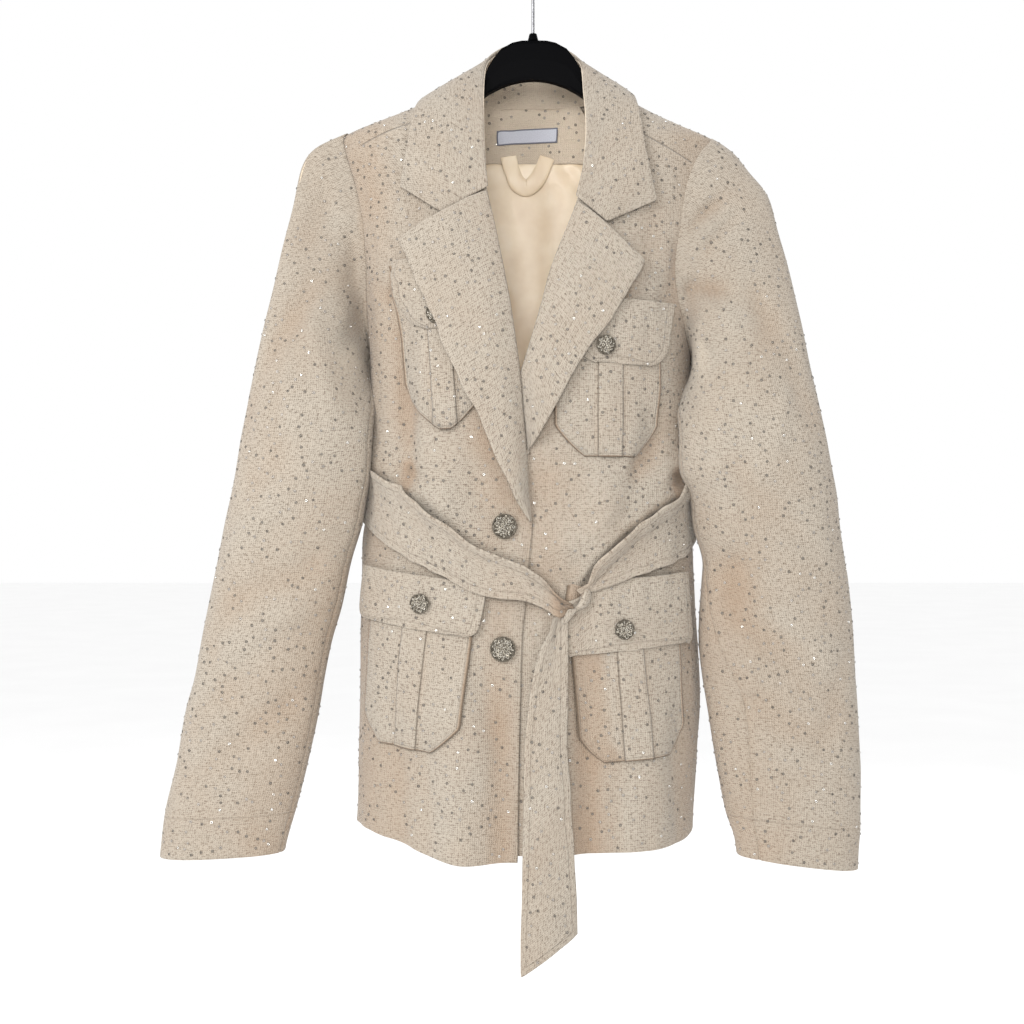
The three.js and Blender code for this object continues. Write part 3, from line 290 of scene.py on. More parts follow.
def makeMesh(name, vertices, faces, uvLayers, materials, faceMaterials, tint=None):
    mesh = bpy.data.meshes.new(name)
    mesh.from_pydata([tuple(v) for v in vertices * mm], [], faces)
    loops = np.zeros(len(mesh.loops), int)
    mesh.loops.foreach_get("vertex_index", loops)
    for layerName, values in uvLayers.items():
        layer = mesh.uv_layers.new(name=layerName)
        layer.data.foreach_set("uv", values[loops].ravel())
    if tint is not None:
        attribute = mesh.attributes.new("hollow", "FLOAT", "POINT")
        attribute.data.foreach_set("value", tint)
    for material in materials:
        mesh.materials.append(material)
    mesh.polygons.foreach_set("material_index", faceMaterials)
    mesh.polygons.foreach_set("use_smooth", [True] * len(mesh.polygons))
    mesh.update()
    piece = bpy.data.objects.new(name, mesh)
    bpy.context.collection.objects.link(piece)
    return piece


def clothShell(name, grid, thickness, material, inside=None, stitch=None, stitched="lrtb", faces=1,
               axis=(-3, 0), turned=False, grain="piece", hem=22, hollow=0.0, seam=None):
    # grid is the face that shows, away from the axis or towards it; the wall goes in behind it
    rows, columns = grid.shape[:2]
    normal = normalsOf(grid)
    middle = np.concatenate([np.broadcast_to(axis, grid.shape[:2] + (2,)), grid[..., 2:]], -1)
    outward = faces * np.sign(np.sum(normal * (grid - middle)))
    normal = normal * outward
    inner = grid - normal * thickness
    u, v = arcs(grid, 1), arcs(grid, 0)
    toSides = {"l": u, "r": u[:, -1:] - u, "t": v, "b": v[-1:, :] - v}
    edge = np.full_like(u, noLine)
    if stitch:
        edge = np.minimum.reduce([toSides[side] for side in stitched]) - stitch
    # the rim: its loop of border points, run round once
    loop = ([(0, i) for i in range(columns)] + [(j, columns - 1) for j in range(1, rows)]
            + [(rows - 1, i) for i in range(columns - 2, -1, -1)] + [(j, 0) for j in range(rows - 2, 0, -1)])
    at = np.array(loop)
    outerLoop, innerLoop = grid[at[:, 0], at[:, 1]], inner[at[:, 0], at[:, 1]]
    away = np.zeros_like(outerLoop)
    across, down = np.gradient(grid, axis=1), np.gradient(grid, axis=0)
    across /= np.maximum(np.linalg.norm(across, axis=-1, keepdims=True), 1e-9)
    down /= np.maximum(np.linalg.norm(down, axis=-1, keepdims=True), 1e-9)
    for k, (j, i) in enumerate(loop):
        if i == 0:
            away[k] -= across[j, i]
        if i == columns - 1:
            away[k] += across[j, i]
        if j == 0:
            away[k] -= down[j, i]
        if j == rows - 1:
            away[k] += down[j, i]
    away = unit(away)
    rim = [mix(outerLoop, innerLoop, s) + away * (thickness * .5 * math.sin(math.pi * s) ** .8)
           for s in (.2, .5, .8)]
    vertices = np.concatenate([grid.reshape(-1, 3), inner.reshape(-1, 3)] + rim)
    count = rows * columns
    quads, kinds = [], []
    lined = inside is not None
    uMax, vMax = u[:, -1:], v[-1:, :]
    nearEdge = (np.minimum(u, uMax - u) < hem) | (v > vMax - hem) | (v < 4)
    for j in range(rows - 1):
        for i in range(columns - 1):
            a = j * columns + i
            quad = (a, a + 1, a + columns + 1, a + columns)
            back = tuple(count + k for k in reversed(quad))
            quads += [quad, back]
            kinds += [0, 1 if lined and not nearEdge[j, i] else 0]
    total = len(loop)
    flat = [j * columns + i for j, i in loop]
    rims = [[2 * count + r * total + k for k in range(total)] for r in range(3)]
    rings = [flat] + rims + [[count + k for k in flat]]
    for first, second in zip(rings, rings[1:]):
        for k in range(total):
            n = (k + 1) % total
            quads.append((first[n], first[k], second[k], second[n]))
            kinds.append(0)
    if outward < 0:
        quads = [tuple(reversed(quad)) for quad in quads]
    wide, long = float(u.max()), float(v.max())
    u = u - u[:, columns // 2:columns // 2 + 1]
    if grain == "upright":
        u, v = u + grid[:, columns // 2:columns // 2 + 1, 0], -grid[..., 2]
    if grain == "hem":
        v = v - v[-1:, :]
    uv = np.stack([v, u] if turned else [u, v], -1).reshape(-1, 2)
    loopUv = uv[flat]
    cloth = np.concatenate([uv, uv] + [loopUv] * 3) * mm
    edgeFlat = np.stack([edge, np.full_like(u, noLine) if seam is None else seam], -1).reshape(-1, 2)
    edgeUv = np.concatenate([edgeFlat, np.full_like(edgeFlat, noLine)] + [edgeFlat[flat]] * 3)
    tint = np.broadcast_to(hollow, (rows, columns)).reshape(-1)
    tints = np.concatenate([tint, tint] + [tint[flat]] * 3).astype(np.float32)
    materials = [material] + ([inside] if lined else [])
    piece = makeMesh(name, vertices, quads, {"cloth": cloth, "edge": edgeUv}, materials, kinds, tints)
    first = np.cross(grid[1:, :-1] - grid[:-1, :-1], grid[:-1, 1:] - grid[:-1, :-1])
    second = np.cross(grid[1:, :-1] - grid[1:, 1:], grid[:-1, 1:] - grid[1:, 1:])
    area = float((np.linalg.norm(first, axis=-1) + np.linalg.norm(second, axis=-1)).sum() / 2)
    shells[name] = {"grid": grid, "normal": normal, "wide": wide, "long": long, "area": area}
    return piece


def finishPiece(piece, node=None):
    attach(piece, "root")
    if node:
        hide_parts(node)


def sew(name, grid, wall, material, slotName="tweed", **how):
    finishPiece(clothShell(name, grid, wall, material, **how), name)


# Materials

def newMaterial(name):
    material = bpy.data.materials.new(name)
    material.use_nodes = True
    return material


def feed(material, socket, value):
    if isinstance(value, bpy.types.NodeSocket):
        material.node_tree.links.new(value, socket)
    else:
        socket.default_value = value


def addNode(material, kind, settings=None, **inputs):
    # i0, i1 and so on are inputs by number, other words are inputs by name
    node = material.node_tree.nodes.new(kind)
    for key, value in (settings or {}).items():
        setattr(node, key, value)
    for key, value in inputs.items():
        numbered = key[0] == "i" and key[1:].isdigit()
        feed(material, node.inputs[int(key[1:]) if numbered else key], value)
    return node


def maths(material, operation, first, second=0.0, third=0.0, clamp=False):
    settings = {"operation": operation, "use_clamp": clamp}
    return addNode(material, "ShaderNodeMath", settings, i0=first, i1=second, i2=third).outputs[0]


def blendColours(material, factor, first, second):
    settings = {"data_type": "RGBA", "blend_type": "MIX"}
    return addNode(material, "ShaderNodeMix", settings, i0=factor, i6=first, i7=second).outputs[2]


def ramp(material, factor, stops):
    node = addNode(material, "ShaderNodeValToRGB", Fac=factor)
    elements = node.color_ramp.elements
    while len(elements) < len(stops):
        elements.new(.5)
    for element, (position, colour) in zip(elements, stops):
        element.position, element.color = position, colour
    return node.outputs[0]


def uvOf(material, layer):
    return addNode(material, "ShaderNodeUVMap", {"uv_map": layer}).outputs[0]


def noise(material, place, scale, detail, **more):
    node = addNode(material, "ShaderNodeTexNoise", Vector=place, Scale=scale, Detail=detail, **more)
    return node.outputs["Fac"]


def stretch(material, place, wide, high):
    # makes a pattern of one unit this wide and high, in millimetres
    node = addNode(material, "ShaderNodeMapping", Vector=place)
    node.inputs["Scale"].default_value = (1 / (wide * mm), 1 / (high * mm), 1)
    return node.outputs[0]


def finishMaterial(material, colour, height, bump, surface):
    # bump is its strength and its depth in metres
    shader = material.node_tree.nodes["Principled BSDF"]
    bumped = addNode(material, "ShaderNodeBump", Strength=bump[0], Distance=bump[1], Height=height).outputs[0]
    for name, value in {"Base Color": colour, "Normal": bumped, **surface}.items():
        feed(material, shader.inputs[name], value)
    return material


tweedLook = {
    "ivory": (.219, .181, .142, 1),
    "pale": (.365, .320, .262, 1),
    "shade": (.098, .076, .056, 1),
    # peach: the colour of painted shade in hollows, and of random patches
    "peach": (.285, .188, .118, 1),
    # seam: dark seam and stitch lines, and painted deep shade in slits
    "seam": (.12, .088, .06, 1),
    # light: painted light, where the shading goes below 0
    "light": (.72, .61, .48, 1),
    "stops": (.48, .63, .77),       # where shade, ivory and pale lie in the weave
    "stitchWidth": .9,
    "seamWidth": .8,
    "yarn": 2.0,                    # millimetres between two threads
    "slub": (4.2, 1.5),             # length and height of a thick place in the yarn
    "slubUp": (1.4, 4.2),           # and of an upright one
    "peachShare": .62,
    "seamShare": .62,
    "slitShare": .9,
    "patches": (.85, -.32),         # how strong, and how much of the cloth they leave
    "bump": (.75, .0018),
    "surface": {"Roughness": .86, "Specular IOR Level": .22, "Sheen Weight": .18, "Sheen Roughness": .5},
}


def makeTweed():
    material = newMaterial("tweed")
    look = tweedLook

    def run(*values, clamp=False):
        return maths(material, *values, clamp=clamp)
    uv, edge = uvOf(material, "cloth"), addNode(material, "ShaderNodeSeparateXYZ", i0=uvOf(material, "edge"))
    axes = addNode(material, "ShaderNodeSeparateXYZ", i0=uv)
    drift = run("MULTIPLY_ADD", noise(material, uv, 90.0, 2.0), .0022, -.0011)
    turn = 2 * math.pi / (look["yarn"] * mm)
    warp = run("SINE", run("MULTIPLY", run("ADD", axes.outputs[0], drift), turn))
    weft = run("SINE", run("MULTIPLY", run("ADD", axes.outputs[1], drift), turn * 1.12))
    weave = run("MULTIPLY_ADD", run("MAXIMUM", warp, weft), .25, .5)
    grain = noise(material, uv, 460.0, 2.0, Roughness=.7)
    slub = noise(material, stretch(material, uv, *look["slub"]), 1.0, 2.0)
    slubUp = noise(material, stretch(material, uv, *look["slubUp"]), 1.0, 1.0)
    mixed = run("MULTIPLY_ADD", slub, .55, run("MULTIPLY", grain, .45))
    mixed = run("MULTIPLY_ADD", slubUp, .25, mixed)
    mixed = run("MULTIPLY_ADD", weave, .22, mixed)
    colour = ramp(material, mixed, list(zip(look["stops"], (look["shade"], look["ivory"], look["pale"]))))

    # painted shading: up to 1 it tints towards peach as painted shade, what is over 1 is painted deep shade
    # in a slit, and below 0 it is painted light; random patches also tint towards peach
    hollow = addNode(material, "ShaderNodeAttribute", {"attribute_name": "hollow"}).outputs["Fac"]
    patchy = run("MULTIPLY_ADD", noise(material, uv, 16.0, 2.0), *look["patches"], clamp=True)
    warm = run("ADD", run("MULTIPLY", hollow, .85, clamp=True), patchy, clamp=True)
    peach = blendColours(material, look["peachShare"], colour, look["peach"])
    colour = blendColours(material, warm, colour, peach)
    grooves = []
    for k, width in enumerate((look["stitchWidth"], look["seamWidth"])):
        away = run("MULTIPLY", run("ABSOLUTE", edge.outputs[k]), 1 / width, clamp=True)
        grooves.append(run("SUBTRACT", 1.0, away, clamp=True))
    groove = run("MULTIPLY_ADD", grooves[0], .45, grooves[1], clamp=True)
    colour = blendColours(material, run("MULTIPLY", groove, look["seamShare"]), colour, look["seam"])
    slit = run("SUBTRACT", hollow, 1.0, clamp=True)
    colour = blendColours(material, run("MULTIPLY", slit, look["slitShare"]), colour, look["seam"])
    colour = blendColours(material, run("MULTIPLY", hollow, -1.0, clamp=True), colour, look["light"])
    height = run("MULTIPLY_ADD", weave, .5, run("MULTIPLY", mixed, .9))
    height = run("MULTIPLY_ADD", groove, -1.1, height)
    return finishMaterial(material, colour, height, look["bump"], look["surface"])


satinLook = {
    "stops": [(.3, (.74, .58, .40, 1)), (.6, (.86, .72, .53, 1)), (.85, (.93, .82, .66, 1))],
    "thread": (.3, 4),
    "bump": (.35, .002),
    "surface": {"Roughness": .36, "Sheen Weight": .2},
}


def makeSatin():
    material = newMaterial("satin")
    uv = uvOf(material, "cloth")
    soft = noise(material, uv, 26.0, 3.0)
    fine = noise(material, stretch(material, uv, *satinLook["thread"]), 1.0, 1.0)
    # colour and bump share one soft noise: darker in the wrinkles' troughs and paler on their crests, a
    # painted shade and sheen
    height = maths(material, "MULTIPLY_ADD", soft, 2.0, maths(material, "MULTIPLY", fine, .12))
    return finishMaterial(material, ramp(material, soft, satinLook["stops"]), height, satinLook["bump"],
                          satinLook["surface"])


labelLook = {
    "stops": [(.3, (.42, .43, .49, 1)), (.7, (.58, .60, .67, 1))],
    "border": (.045, .05, .08, 1),
    "bump": (.3, .0004),
    "surface": {"Roughness": .6},
}


def makeLabelCloth():
    material = newMaterial("labelWeave")
    fine = noise(material, uvOf(material, "cloth"), 1400.0, 2.0)
    edge = addNode(material, "ShaderNodeSeparateXYZ", i0=uvOf(material, "edge"))
    border = maths(material, "MULTIPLY", maths(material, "LESS_THAN", edge.outputs[0], 0.0), .8)
    colour = blendColours(material, border, ramp(material, fine, labelLook["stops"]), labelLook["border"])
    return finishMaterial(material, colour, fine, labelLook["bump"], labelLook["surface"])


def makeButtonMetal(name, tones, metallic, roughness):
    material = newMaterial(name)
    place = addNode(material, "ShaderNodeTexCoord").outputs["Object"]
    settings = {"feature": "DISTANCE_TO_EDGE"}
    cells = addNode(material, "ShaderNodeTexVoronoi", settings, Vector=place, Scale=520.0)
    raised = maths(material, "MULTIPLY", cells.outputs["Distance"], 5.0, clamp=True)
    grit = maths(material, "MULTIPLY", noise(material, place, 900.0, 2.0), .5)
    height = maths(material, "MULTIPLY_ADD", raised, -1.0, grit)
    colour = ramp(material, raised, list(zip((.05, .45, .9), tones)))
    return finishMaterial(material, colour, height, (1.0, .0011),
                          {"Metallic": metallic, "Roughness": roughness})


def makePlain(name, low, high, roughness, metallic=0.0, scale=220.0, bump=(.3, .0001), **surface):
    material = newMaterial(name)
    cloudy = noise(material, addNode(material, "ShaderNodeTexCoord").outputs["Object"], scale, 3.0)
    return finishMaterial(material, ramp(material, cloudy, [(.35, low), (.7, high)]), cloudy, bump,
                          {"Roughness": roughness, "Metallic": metallic, **surface})


tweed, satin, labelCloth = makeTweed(), makeSatin(), makeLabelCloth()
silverTones = ((.97, .93, .84, 1), (.88, .82, .72, 1), (.62, .56, .46, 1))
pewterTones = ((.34, .30, .24, 1), (.21, .185, .145, 1), (.09, .075, .055, 1))
buttonSilver = makeButtonMetal("buttonSilver", silverTones, .55, .32)
buttonPewter = makeButtonMetal("buttonPewter", pewterTones, .45, .4)
hangerPlastic = makePlain("hangerPlastic", (.0005, .0005, .0008, 1), (.001, .001, .0014, 1), .45, scale=900.0,
                          bump=(.1, .0001), **{"Specular IOR Level": .03})
hookSteel = makePlain("hookSteel", (.20, .20, .21, 1), (.30, .30, .31, 1), .3, 1.0)
# one sequin in three lit and shaded copies: painted dark reflection, painted grey reflection and painted
# bright glint
sequinDarkReflection = makePlain("sequinDarkReflection", (.13, .115, .10, 1), (.22, .20, .175, 1), .35, .5)
sequinGreyReflection = makePlain("sequinGreyReflection", (.30, .275, .25, 1), (.50, .46, .42, 1), .3, .6)
sequinBrightGlint = makePlain("sequinBrightGlint", (.72, .70, .66, 1), (.92, .90, .86, 1), .16, .8)
print("materials made")


# Fronts and back
hems = {
    -1: rowsTable("u z", [(0, -828), (.2, -829), (.5, -812.5), (.8, -805), (1, -806)]),
    1: rowsTable("u z", [(0, -823), (.3, -821), (.6, -819), (.85, -815), (1, -806)]),
}
panels = {"columns": 54, "rows": 150, "backColumns": 104, "backRows": 148}


def outerSide(hole, v):
    below = (coat["underarm"] - coat["backHem"]) / (coat["armholeTop"] - coat["backHem"])
    row = readTable(hole, "t", np.clip(1 - (v - below) / (1 - below), 0, 1))
    q = np.where(v < below, 1.0, row["q"])
    z = np.where(v < below, mix(coat["backHem"], coat["underarm"], np.minimum(v / below, 1)), row["z"])
    return q, z


def frontPlaces(side, edges, columns, rows):
    u, row = unitGrid(columns, rows)
    v = 1 - (1 - row) ** 1.12
    zIn = mix(coat["frontHem"], coat["shoulderTop"], v)
    neck = smooth(.965, 1, v)
    pIn = mix(placeOf(readTable(edges, "z", zIn)["x"], zIn), side * coat["shoulderSeam"], neck)
    q, zOut = outerSide(armholeFront[side], v)
    hemShift = readTable(hems[side], "u", u)["z"] - mix(coat["frontHem"], coat["backHem"], u)
    z = mix(zIn, zOut, u) + hemShift * (1 - v) ** 4
    return mix(pIn, side * q, u), z


shoulderSeams = {
    -1: [(-70, -142), (-107, -155), (-133, -164), (-142, -168), (-160, -176)],
    1: [(66, -152), (101, -169), (124, -181), (146, -193)],
}


def alongLine(grid, points):
    # millimetres from a line seen from in front, on one side positive; far away beyond its ends
    x, z = grid[..., 0], grid[..., 2]
    nearest = x * 0 + 50        # farther than a groove reaches
    for (x0, z0), (x1, z1) in zip(points, points[1:]):
        length = math.hypot(x1 - x0, z1 - z0)
        along = ((x - x0) * (x1 - x0) + (z - z0) * (z1 - z0)) / length
        aside = ((x - x0) * (z1 - z0) - (z - z0) * (x1 - x0)) / length
        beside = (along >= -1) & (along <= length + 1)
        nearest = np.where(beside & (np.abs(aside) < np.abs(nearest)), aside, nearest)
    return nearest


def makeFronts():
    p, z = frontPlaces(-1, rightFrontEdge, panels["columns"], panels["rows"])
    plain = bodyPlain(p, z)
    grid = body(p, z, 0 * z)[::-1]
    # the fronts carry painted shade in folds, beside the lapels and in slits
    sew("front_right", grid, coat["wall"], tweed, inside=satin, grain="upright",
        hollow=hollowTint(plain)[::-1], seam=alongLine(grid, shoulderSeams[-1]))
    p, z = frontPlaces(1, leftFrontEdge, panels["columns"] + 10, panels["rows"])
    plain = bodyPlain(p, z)
    grid = body(p, z, underlap(plain[..., 0], plain[..., 2]))[::-1]
    sew("front_left", grid, coat["wall"], tweed, inside=satin, grain="upright",
        hollow=hollowTint(plain)[::-1], seam=alongLine(grid, shoulderSeams[1]))


# painted shade, and painted deep shade in slits: middle and width across, where it starts and is full from
# below and from above, and strength
openingShade = (5, 20, -600, -575, -500, -440, .5)
lapelShades = {"right": (-4, 16, -540, -500, -300, -255, .55), "left": (3, 12, -470, -440, -310, -270, .45)}
paintedSlitShadows = [(131, 5, -504, -497, -482, -473, 1.6), (-114, 7, -502, -494, -474, -464, 1.0),
             (-130, 2.5, -322, -314, -298, -290, .8)]


def shadeAt(x, z, shade):
    middle, width, low, lowFull, highFull, high, strength = shade
    return strength * bell(x - middle, width) * smooth(low, lowFull, z) * smooth(high, highFull, z)


def hollowTint(point):
    # painted shade where the cloth is drawn in, in the shade of what lies over it, and on the sides; painted
    # deep shade in slits
    x, z = point[..., 0], point[..., 2]
    tint = np.clip(-foldsAt(point) / 7, 0, 1) * .8
    lapelRight = readTable(rightLapelEdge, "z", np.clip(z, -520, -275))["x"]
    tint += shadeAt(x - lapelRight, z, lapelShades["right"]) * (x < lapelRight)
    lapelLeft = readTable(leftLapelEdge, "z", np.clip(z, -464, -292))["x"]
    tint += shadeAt(x - lapelLeft, z, lapelShades["left"]) * (x > lapelLeft)
    tint += shadeAt(x, z, openingShade)
    # painted shade in two valleys below the belt
    tint += .3 * bell(x + 36, 16) * smooth(-850, -640, z)
    tint += .5 * bell(x - 42, 16) * smooth(-620, -660, z)
    # painted shade on the sides, which turn away from the light
    side = smooth(118, 150, np.abs(x + 3))
    over = z - readTable(coat["beltTop"], "x", np.clip(x, -160, 149))["z"]
    isFront = smooth(-20, -40, point[..., 1])
    # painted deep shade in slits along the belt's top edge in front and at the listed places
    slit = .6 * bell(over - 3, 2.2) * smooth(60, 90, x)
    for place in paintedSlitShadows:
        slit += shadeAt(x, z, place)
    return np.clip(tint + side * .55, 0, 1) + np.clip(slit, 0, 1) * isFront


def makeBack():
    middleQ, topQ, neckShare = 2, .88, .42
    neckTop, sideTop = coat["backNeck"], coat["armholeTop"]
    u, row = unitGrid(panels["backColumns"], panels["backRows"])
    v = 1 - (1 - row) ** 1.2
    side = np.where(u < .5, 1, -1)
    across = np.abs(u * 2 - 1)
    qOut, zOut = outerSide(armholeBack, v)
    q, z = mix(middleQ, qOut, across), mix(mix(coat["backHem"], neckTop, v), zOut, across)
    onNeck = across < neckShare
    share = np.clip(across / neckShare, 0, 1)
    crownQ = np.where(onNeck, mix(middleQ, coat["shoulderSeam"], share), coat["shoulderSeam"])
    crownZ = np.where(onNeck, mix(neckTop, coat["shoulderTop"], share**2),
                      mix(coat["shoulderTop"], sideTop, (across - neckShare) / (1 - neckShare)))
    blend = smooth(.78, 1, v)
    q = q + (crownQ - mix(middleQ, topQ, across)) * blend
    z = z + (crownZ - mix(neckTop, sideTop, across)) * blend
    p = side * q
    # painted shade on the back, at half strength
    sew("back", body(p, z, 0 * z)[::-1], coat["wall"], tweed, inside=satin, grain="upright",
        hollow=(hollowTint(bodyPlain(p, z)) * .5)[::-1])


rightLapelEdge = rowsTable("z x", [
    (-525, -4), (-509, -14), (-488, -23), (-463, -35), (-435, -46), (-414, -56), (-385, -70), (-349, -85),
    (-317, -98), (-289, -109), (-272, -116)])
leftLapelEdge = rowsTable("z x", [
    (-464, -7.5), (-439, 8), (-416, 21), (-393, 32), (-366, 49), (-347, 64), (-330, 74), (-311, 85),
    (-292, 94)])
makeFronts()
makeBack()
print("fronts and back made")

# Sleeves
sleeveCloth = {
    "wall": 2.0, "capShare": .36, "backSeam": 232, "roundness": .9,
    "columns": 78, "underColumns": 34, "rows": 150,
}
# rings: height, inner and outer side, middle and half depth; crown, drawnIn and pressed: place down the
# cap, width and height; lit, a patch of painted light: x, z, width, height and strength; creases: from x, z
# to x, z, width, depth; folds: the same, with an angle for x
sleeves = {
    "right": {
        "side": -1, "cap": -450, "cuff": -830.5, "tilt": -3,
        "rings": rowsTable("z inner outer y depth", [
            (-450, 148, 270.5, -41, 31), (-485, 149.5, 276, -42, 31), (-513, 155.5, 281, -42, 30),
            (-530, 159, 284.5, -41, 30), (-561, 168, 291, -40, 30), (-603, 177, 300, -39, 30),
            (-634, 186, 306.5, -38, 29), (-669, 193, 313, -38, 29), (-696, 197.5, 320.5, -38, 29),
            (-743, 206.5, 329.5, -38, 28), (-788, 217, 339, -38, 27), (-824, 227, 344.5, -38, 26),
            (-850, 231, 347, -38, 26)]),
        "frontSeam": rowsTable("z angle", [(-450, 160), (-850, 160)]),
        "crown": (.19, .12, 10),
        "drawnIn": (.57, .3, 5.2), "pressed": (.6, .2, 3.5), "lit": (-163, -362, 15, 42, .3),
        "creases": [
            (-160, -232, -152, -276, 6, -4.5), (-186, -204, -216, -296, 13, -2.8),
            (-170, -246, -165, -330, 9, -3.2), (-150, -300, -172, -372, 8, -2.4),
            (-205, -330, -176, -440, 9, 2.0), (-228, -380, -240, -480, 10, -2.2)],
        "folds": [
            (70, -300, 40, -400, 13, -4), (120, -560, 60, -600, 14, -3), (130, -690, 70, -740, 14, -3),
            (250, -520, 300, -590, 16, -4), (20, -430, 70, -520, 10, -1.8), (100, -470, 50, -540, 9, 2.0),
            (110, -610, 50, -660, 9, 2.2), (40, -640, 90, -700, 10, -1.8), (30, -740, 80, -800, 10, -1.6),
            (280, -300, 320, -420, 12, -3), (300, -600, 260, -700, 12, 2.4)]},
    "left": {
        "side": 1, "cap": -450, "cuff": -838, "tilt": -7,
        "rings": rowsTable("z inner outer y depth", [
            (-450, 133.5, 268.5, -50, 31), (-480, 134, 273.5, -50, 31), (-500, 143, 278, -46, 31),
            (-530, 147, 282, -40, 31), (-560, 155, 287, -38, 30.5), (-580, 154.5, 290.5, -37, 30),
            (-632, 152.5, 295.3, -37, 29), (-670, 156, 297.6, -37, 29), (-709, 161, 299.5, -37, 28),
            (-756, 169, 302, -37, 27), (-800, 177.8, 302.6, -37, 26), (-823, 185, 301, -37, 25),
            (-850, 188, 300, -37, 25)]),
        "frontSeam": rowsTable("z angle", [
            (-450, 170), (-566, 168), (-630, 143), (-690, 121), (-770, 125), (-825, 131), (-850, 132)]),
        "crown": (.31, .08, 5),
        "drawnIn": (.74, .2, 4.8), "pressed": (.6, .2, 6), "lit": (147, -368, 10, 30, .3),
        "creases": [
            (178, -224, 134, -269, 7, -4.8), (184, -240, 140, -279, 6, 2.0), (192, -244, 146, -285, 8, -3),
            (132, -312, 182, -314, 6.5, -5.5), (138, -306, 143, -352, 8, -3.6),
            (150, -330, 190, -345, 8, 2.0), (144, -352, 178, -400, 9, -2.6),
            (200, -300, 214, -390, 11, -2.2), (226, -400, 205, -500, 10, 2.2)],
        "folds": [
            (126, -560, 100, -640, 15, -6), (118, -690, 70, -720, 14, -3), (250, -520, 300, -600, 16, -4),
            (122, -362, 90, -410, 9, 2.4), (60, -330, 40, -430, 10, -2.0), (112, -470, 70, -540, 10, -2.4),
            (108, -600, 60, -640, 9, 2.2), (40, -660, 84, -760, 10, -2.0), (280, -300, 320, -420, 12, -3),
            (300, -620, 260, -720, 12, 2.4)]},
}


def armholePoint(side, angle, out):
    turn = np.mod(angle, 360)
    t = (1 - np.cos(np.radians(turn))) / 2
    front, back = readTable(armholeFront[side], "t", t), readTable(armholeBack, "t", t)
    isFront = turn <= 180
    q, z = (np.where(isFront, front[key], back[key]) for key in ("q", "z"))
    return body(side * q, z, out + 0 * t)


def ringPoint(sleeve, angle, z):
    ring = readTable(sleeve["rings"], "z", z)
    a = np.radians(angle)
    across = signedPower(np.cos(a), sleeveCloth["roundness"])
    middle, half = (ring["inner"] + ring["outer"]) / 2, (ring["outer"] - ring["inner"]) / 2
    return np.stack([sleeve["side"] * (middle + half * across),
                     ring["y"] - ring["depth"] * signedPower(np.sin(a), sleeveCloth["roundness"]),
                     z + sleeve["tilt"] * across * smooth(-600, -830, z)], -1)


def frontSeamAt(sleeve, w):
    share = np.clip((w - sleeveCloth["capShare"]) / (1 - sleeveCloth["capShare"]), 0, 1)
    return readTable(sleeve["frontSeam"], "z", mix(sleeve["cap"], sleeve["cuff"], share))["angle"]


def sleeveGrid(sleeve, angle, w):
    share = sleeveCloth["capShare"]
    down = np.clip((w - share) / (1 - share), 0, 1)
    below = ringPoint(sleeve, angle, mix(sleeve["cap"], sleeve["cuff"], down))
    t = np.clip(w / share, 0, 1)[..., None]
    c = np.cos(np.radians(angle))
    start = armholePoint(sleeve["side"], angle, .8)
    end = ringPoint(sleeve, angle, sleeve["cap"] + 0 * angle)
    drop = unit(ringPoint(sleeve, angle, sleeve["cap"] - 4 + 0 * angle) - end)
    top = np.clip(c, 0, 1)
    away = np.stack([sleeve["side"] * (77 + 77 * c + 30 * top), 0 * c, -14 - 14 * c - 64 * top**2], -1)
    down = drop * (170 + 122 * c)[..., None]
    cap = (start * (2 * t**3 - 3 * t**2 + 1) + away * (t**3 - 2 * t**2 + t)
           + end * (3 * t**2 - 2 * t**3) + down * (t**3 - t**2))
    point = np.where((w >= share)[..., None], below, cap)

    def swell(key):
        place, width, height = sleeve[key]
        return height * bell(t[..., 0] - place, width)
    crown = swell("crown") * top**1.2
    drawn = swell("drawnIn") * top + swell("pressed") * np.clip(-c, 0, 1)
    point = point + np.stack([sleeve["side"] * (.75 * crown - drawn), 0 * crown, .66 * crown], -1)
    turn = np.mod(angle + 60, 360) - 60
    rise = 0 * w
    for fromAngle, fromZ, toAngle, toZ, width, depth in sleeve["folds"]:
        alongX, alongZ = (toAngle - fromAngle) * .75, toZ - fromZ
        length = math.hypot(alongX, alongZ)
        dx, dz = (turn - fromAngle) * .75, point[..., 2] - fromZ
        s = (dx * alongX + dz * alongZ) / length**2
        aside = (dx * alongZ - dz * alongX) / length + 3 * np.sin(s * 4 + fromAngle)
        rise = rise + depth * bell(aside, width) * smooth(-.25, .15, s) * smooth(1.5, .7, s)
    for crease in sleeve["creases"]:
        onFront = smooth(-.1, .3, np.sin(np.radians(angle)))
        rise = rise + creaseAt(point[..., 0], point[..., 2], crease, 2) * onFront
    rise = rise * 1.2 + .9 * softNoise(turn / 26, point[..., 2] / 44, sleeve["side"] + 9) * smooth(.02, .1, w)
    # ease of the cap along the armhole, and the pull of the two long seams
    rise = rise + 1.6 * bell(w - .035, .03) - .8 * bell(w, .012)
    for seam in (frontSeamAt(sleeve, w), sleeveCloth["backSeam"]):
        off = ((turn - seam) % 360 + 180) % 360 - 180
        rise = rise - np.exp(-off**2 / 6) + .35 * bell(off, 8) * np.sin(point[..., 2] / 3.1)
    out = unit(np.stack([sleeve["side"] * c * .5, -np.sin(np.radians(angle)), 0 * c], -1))
    # the troughs of the folds give painted shade
    return point + out * (rise * smooth(0, .05, w))[..., None], np.clip(-rise / 8, 0, 1) * .8


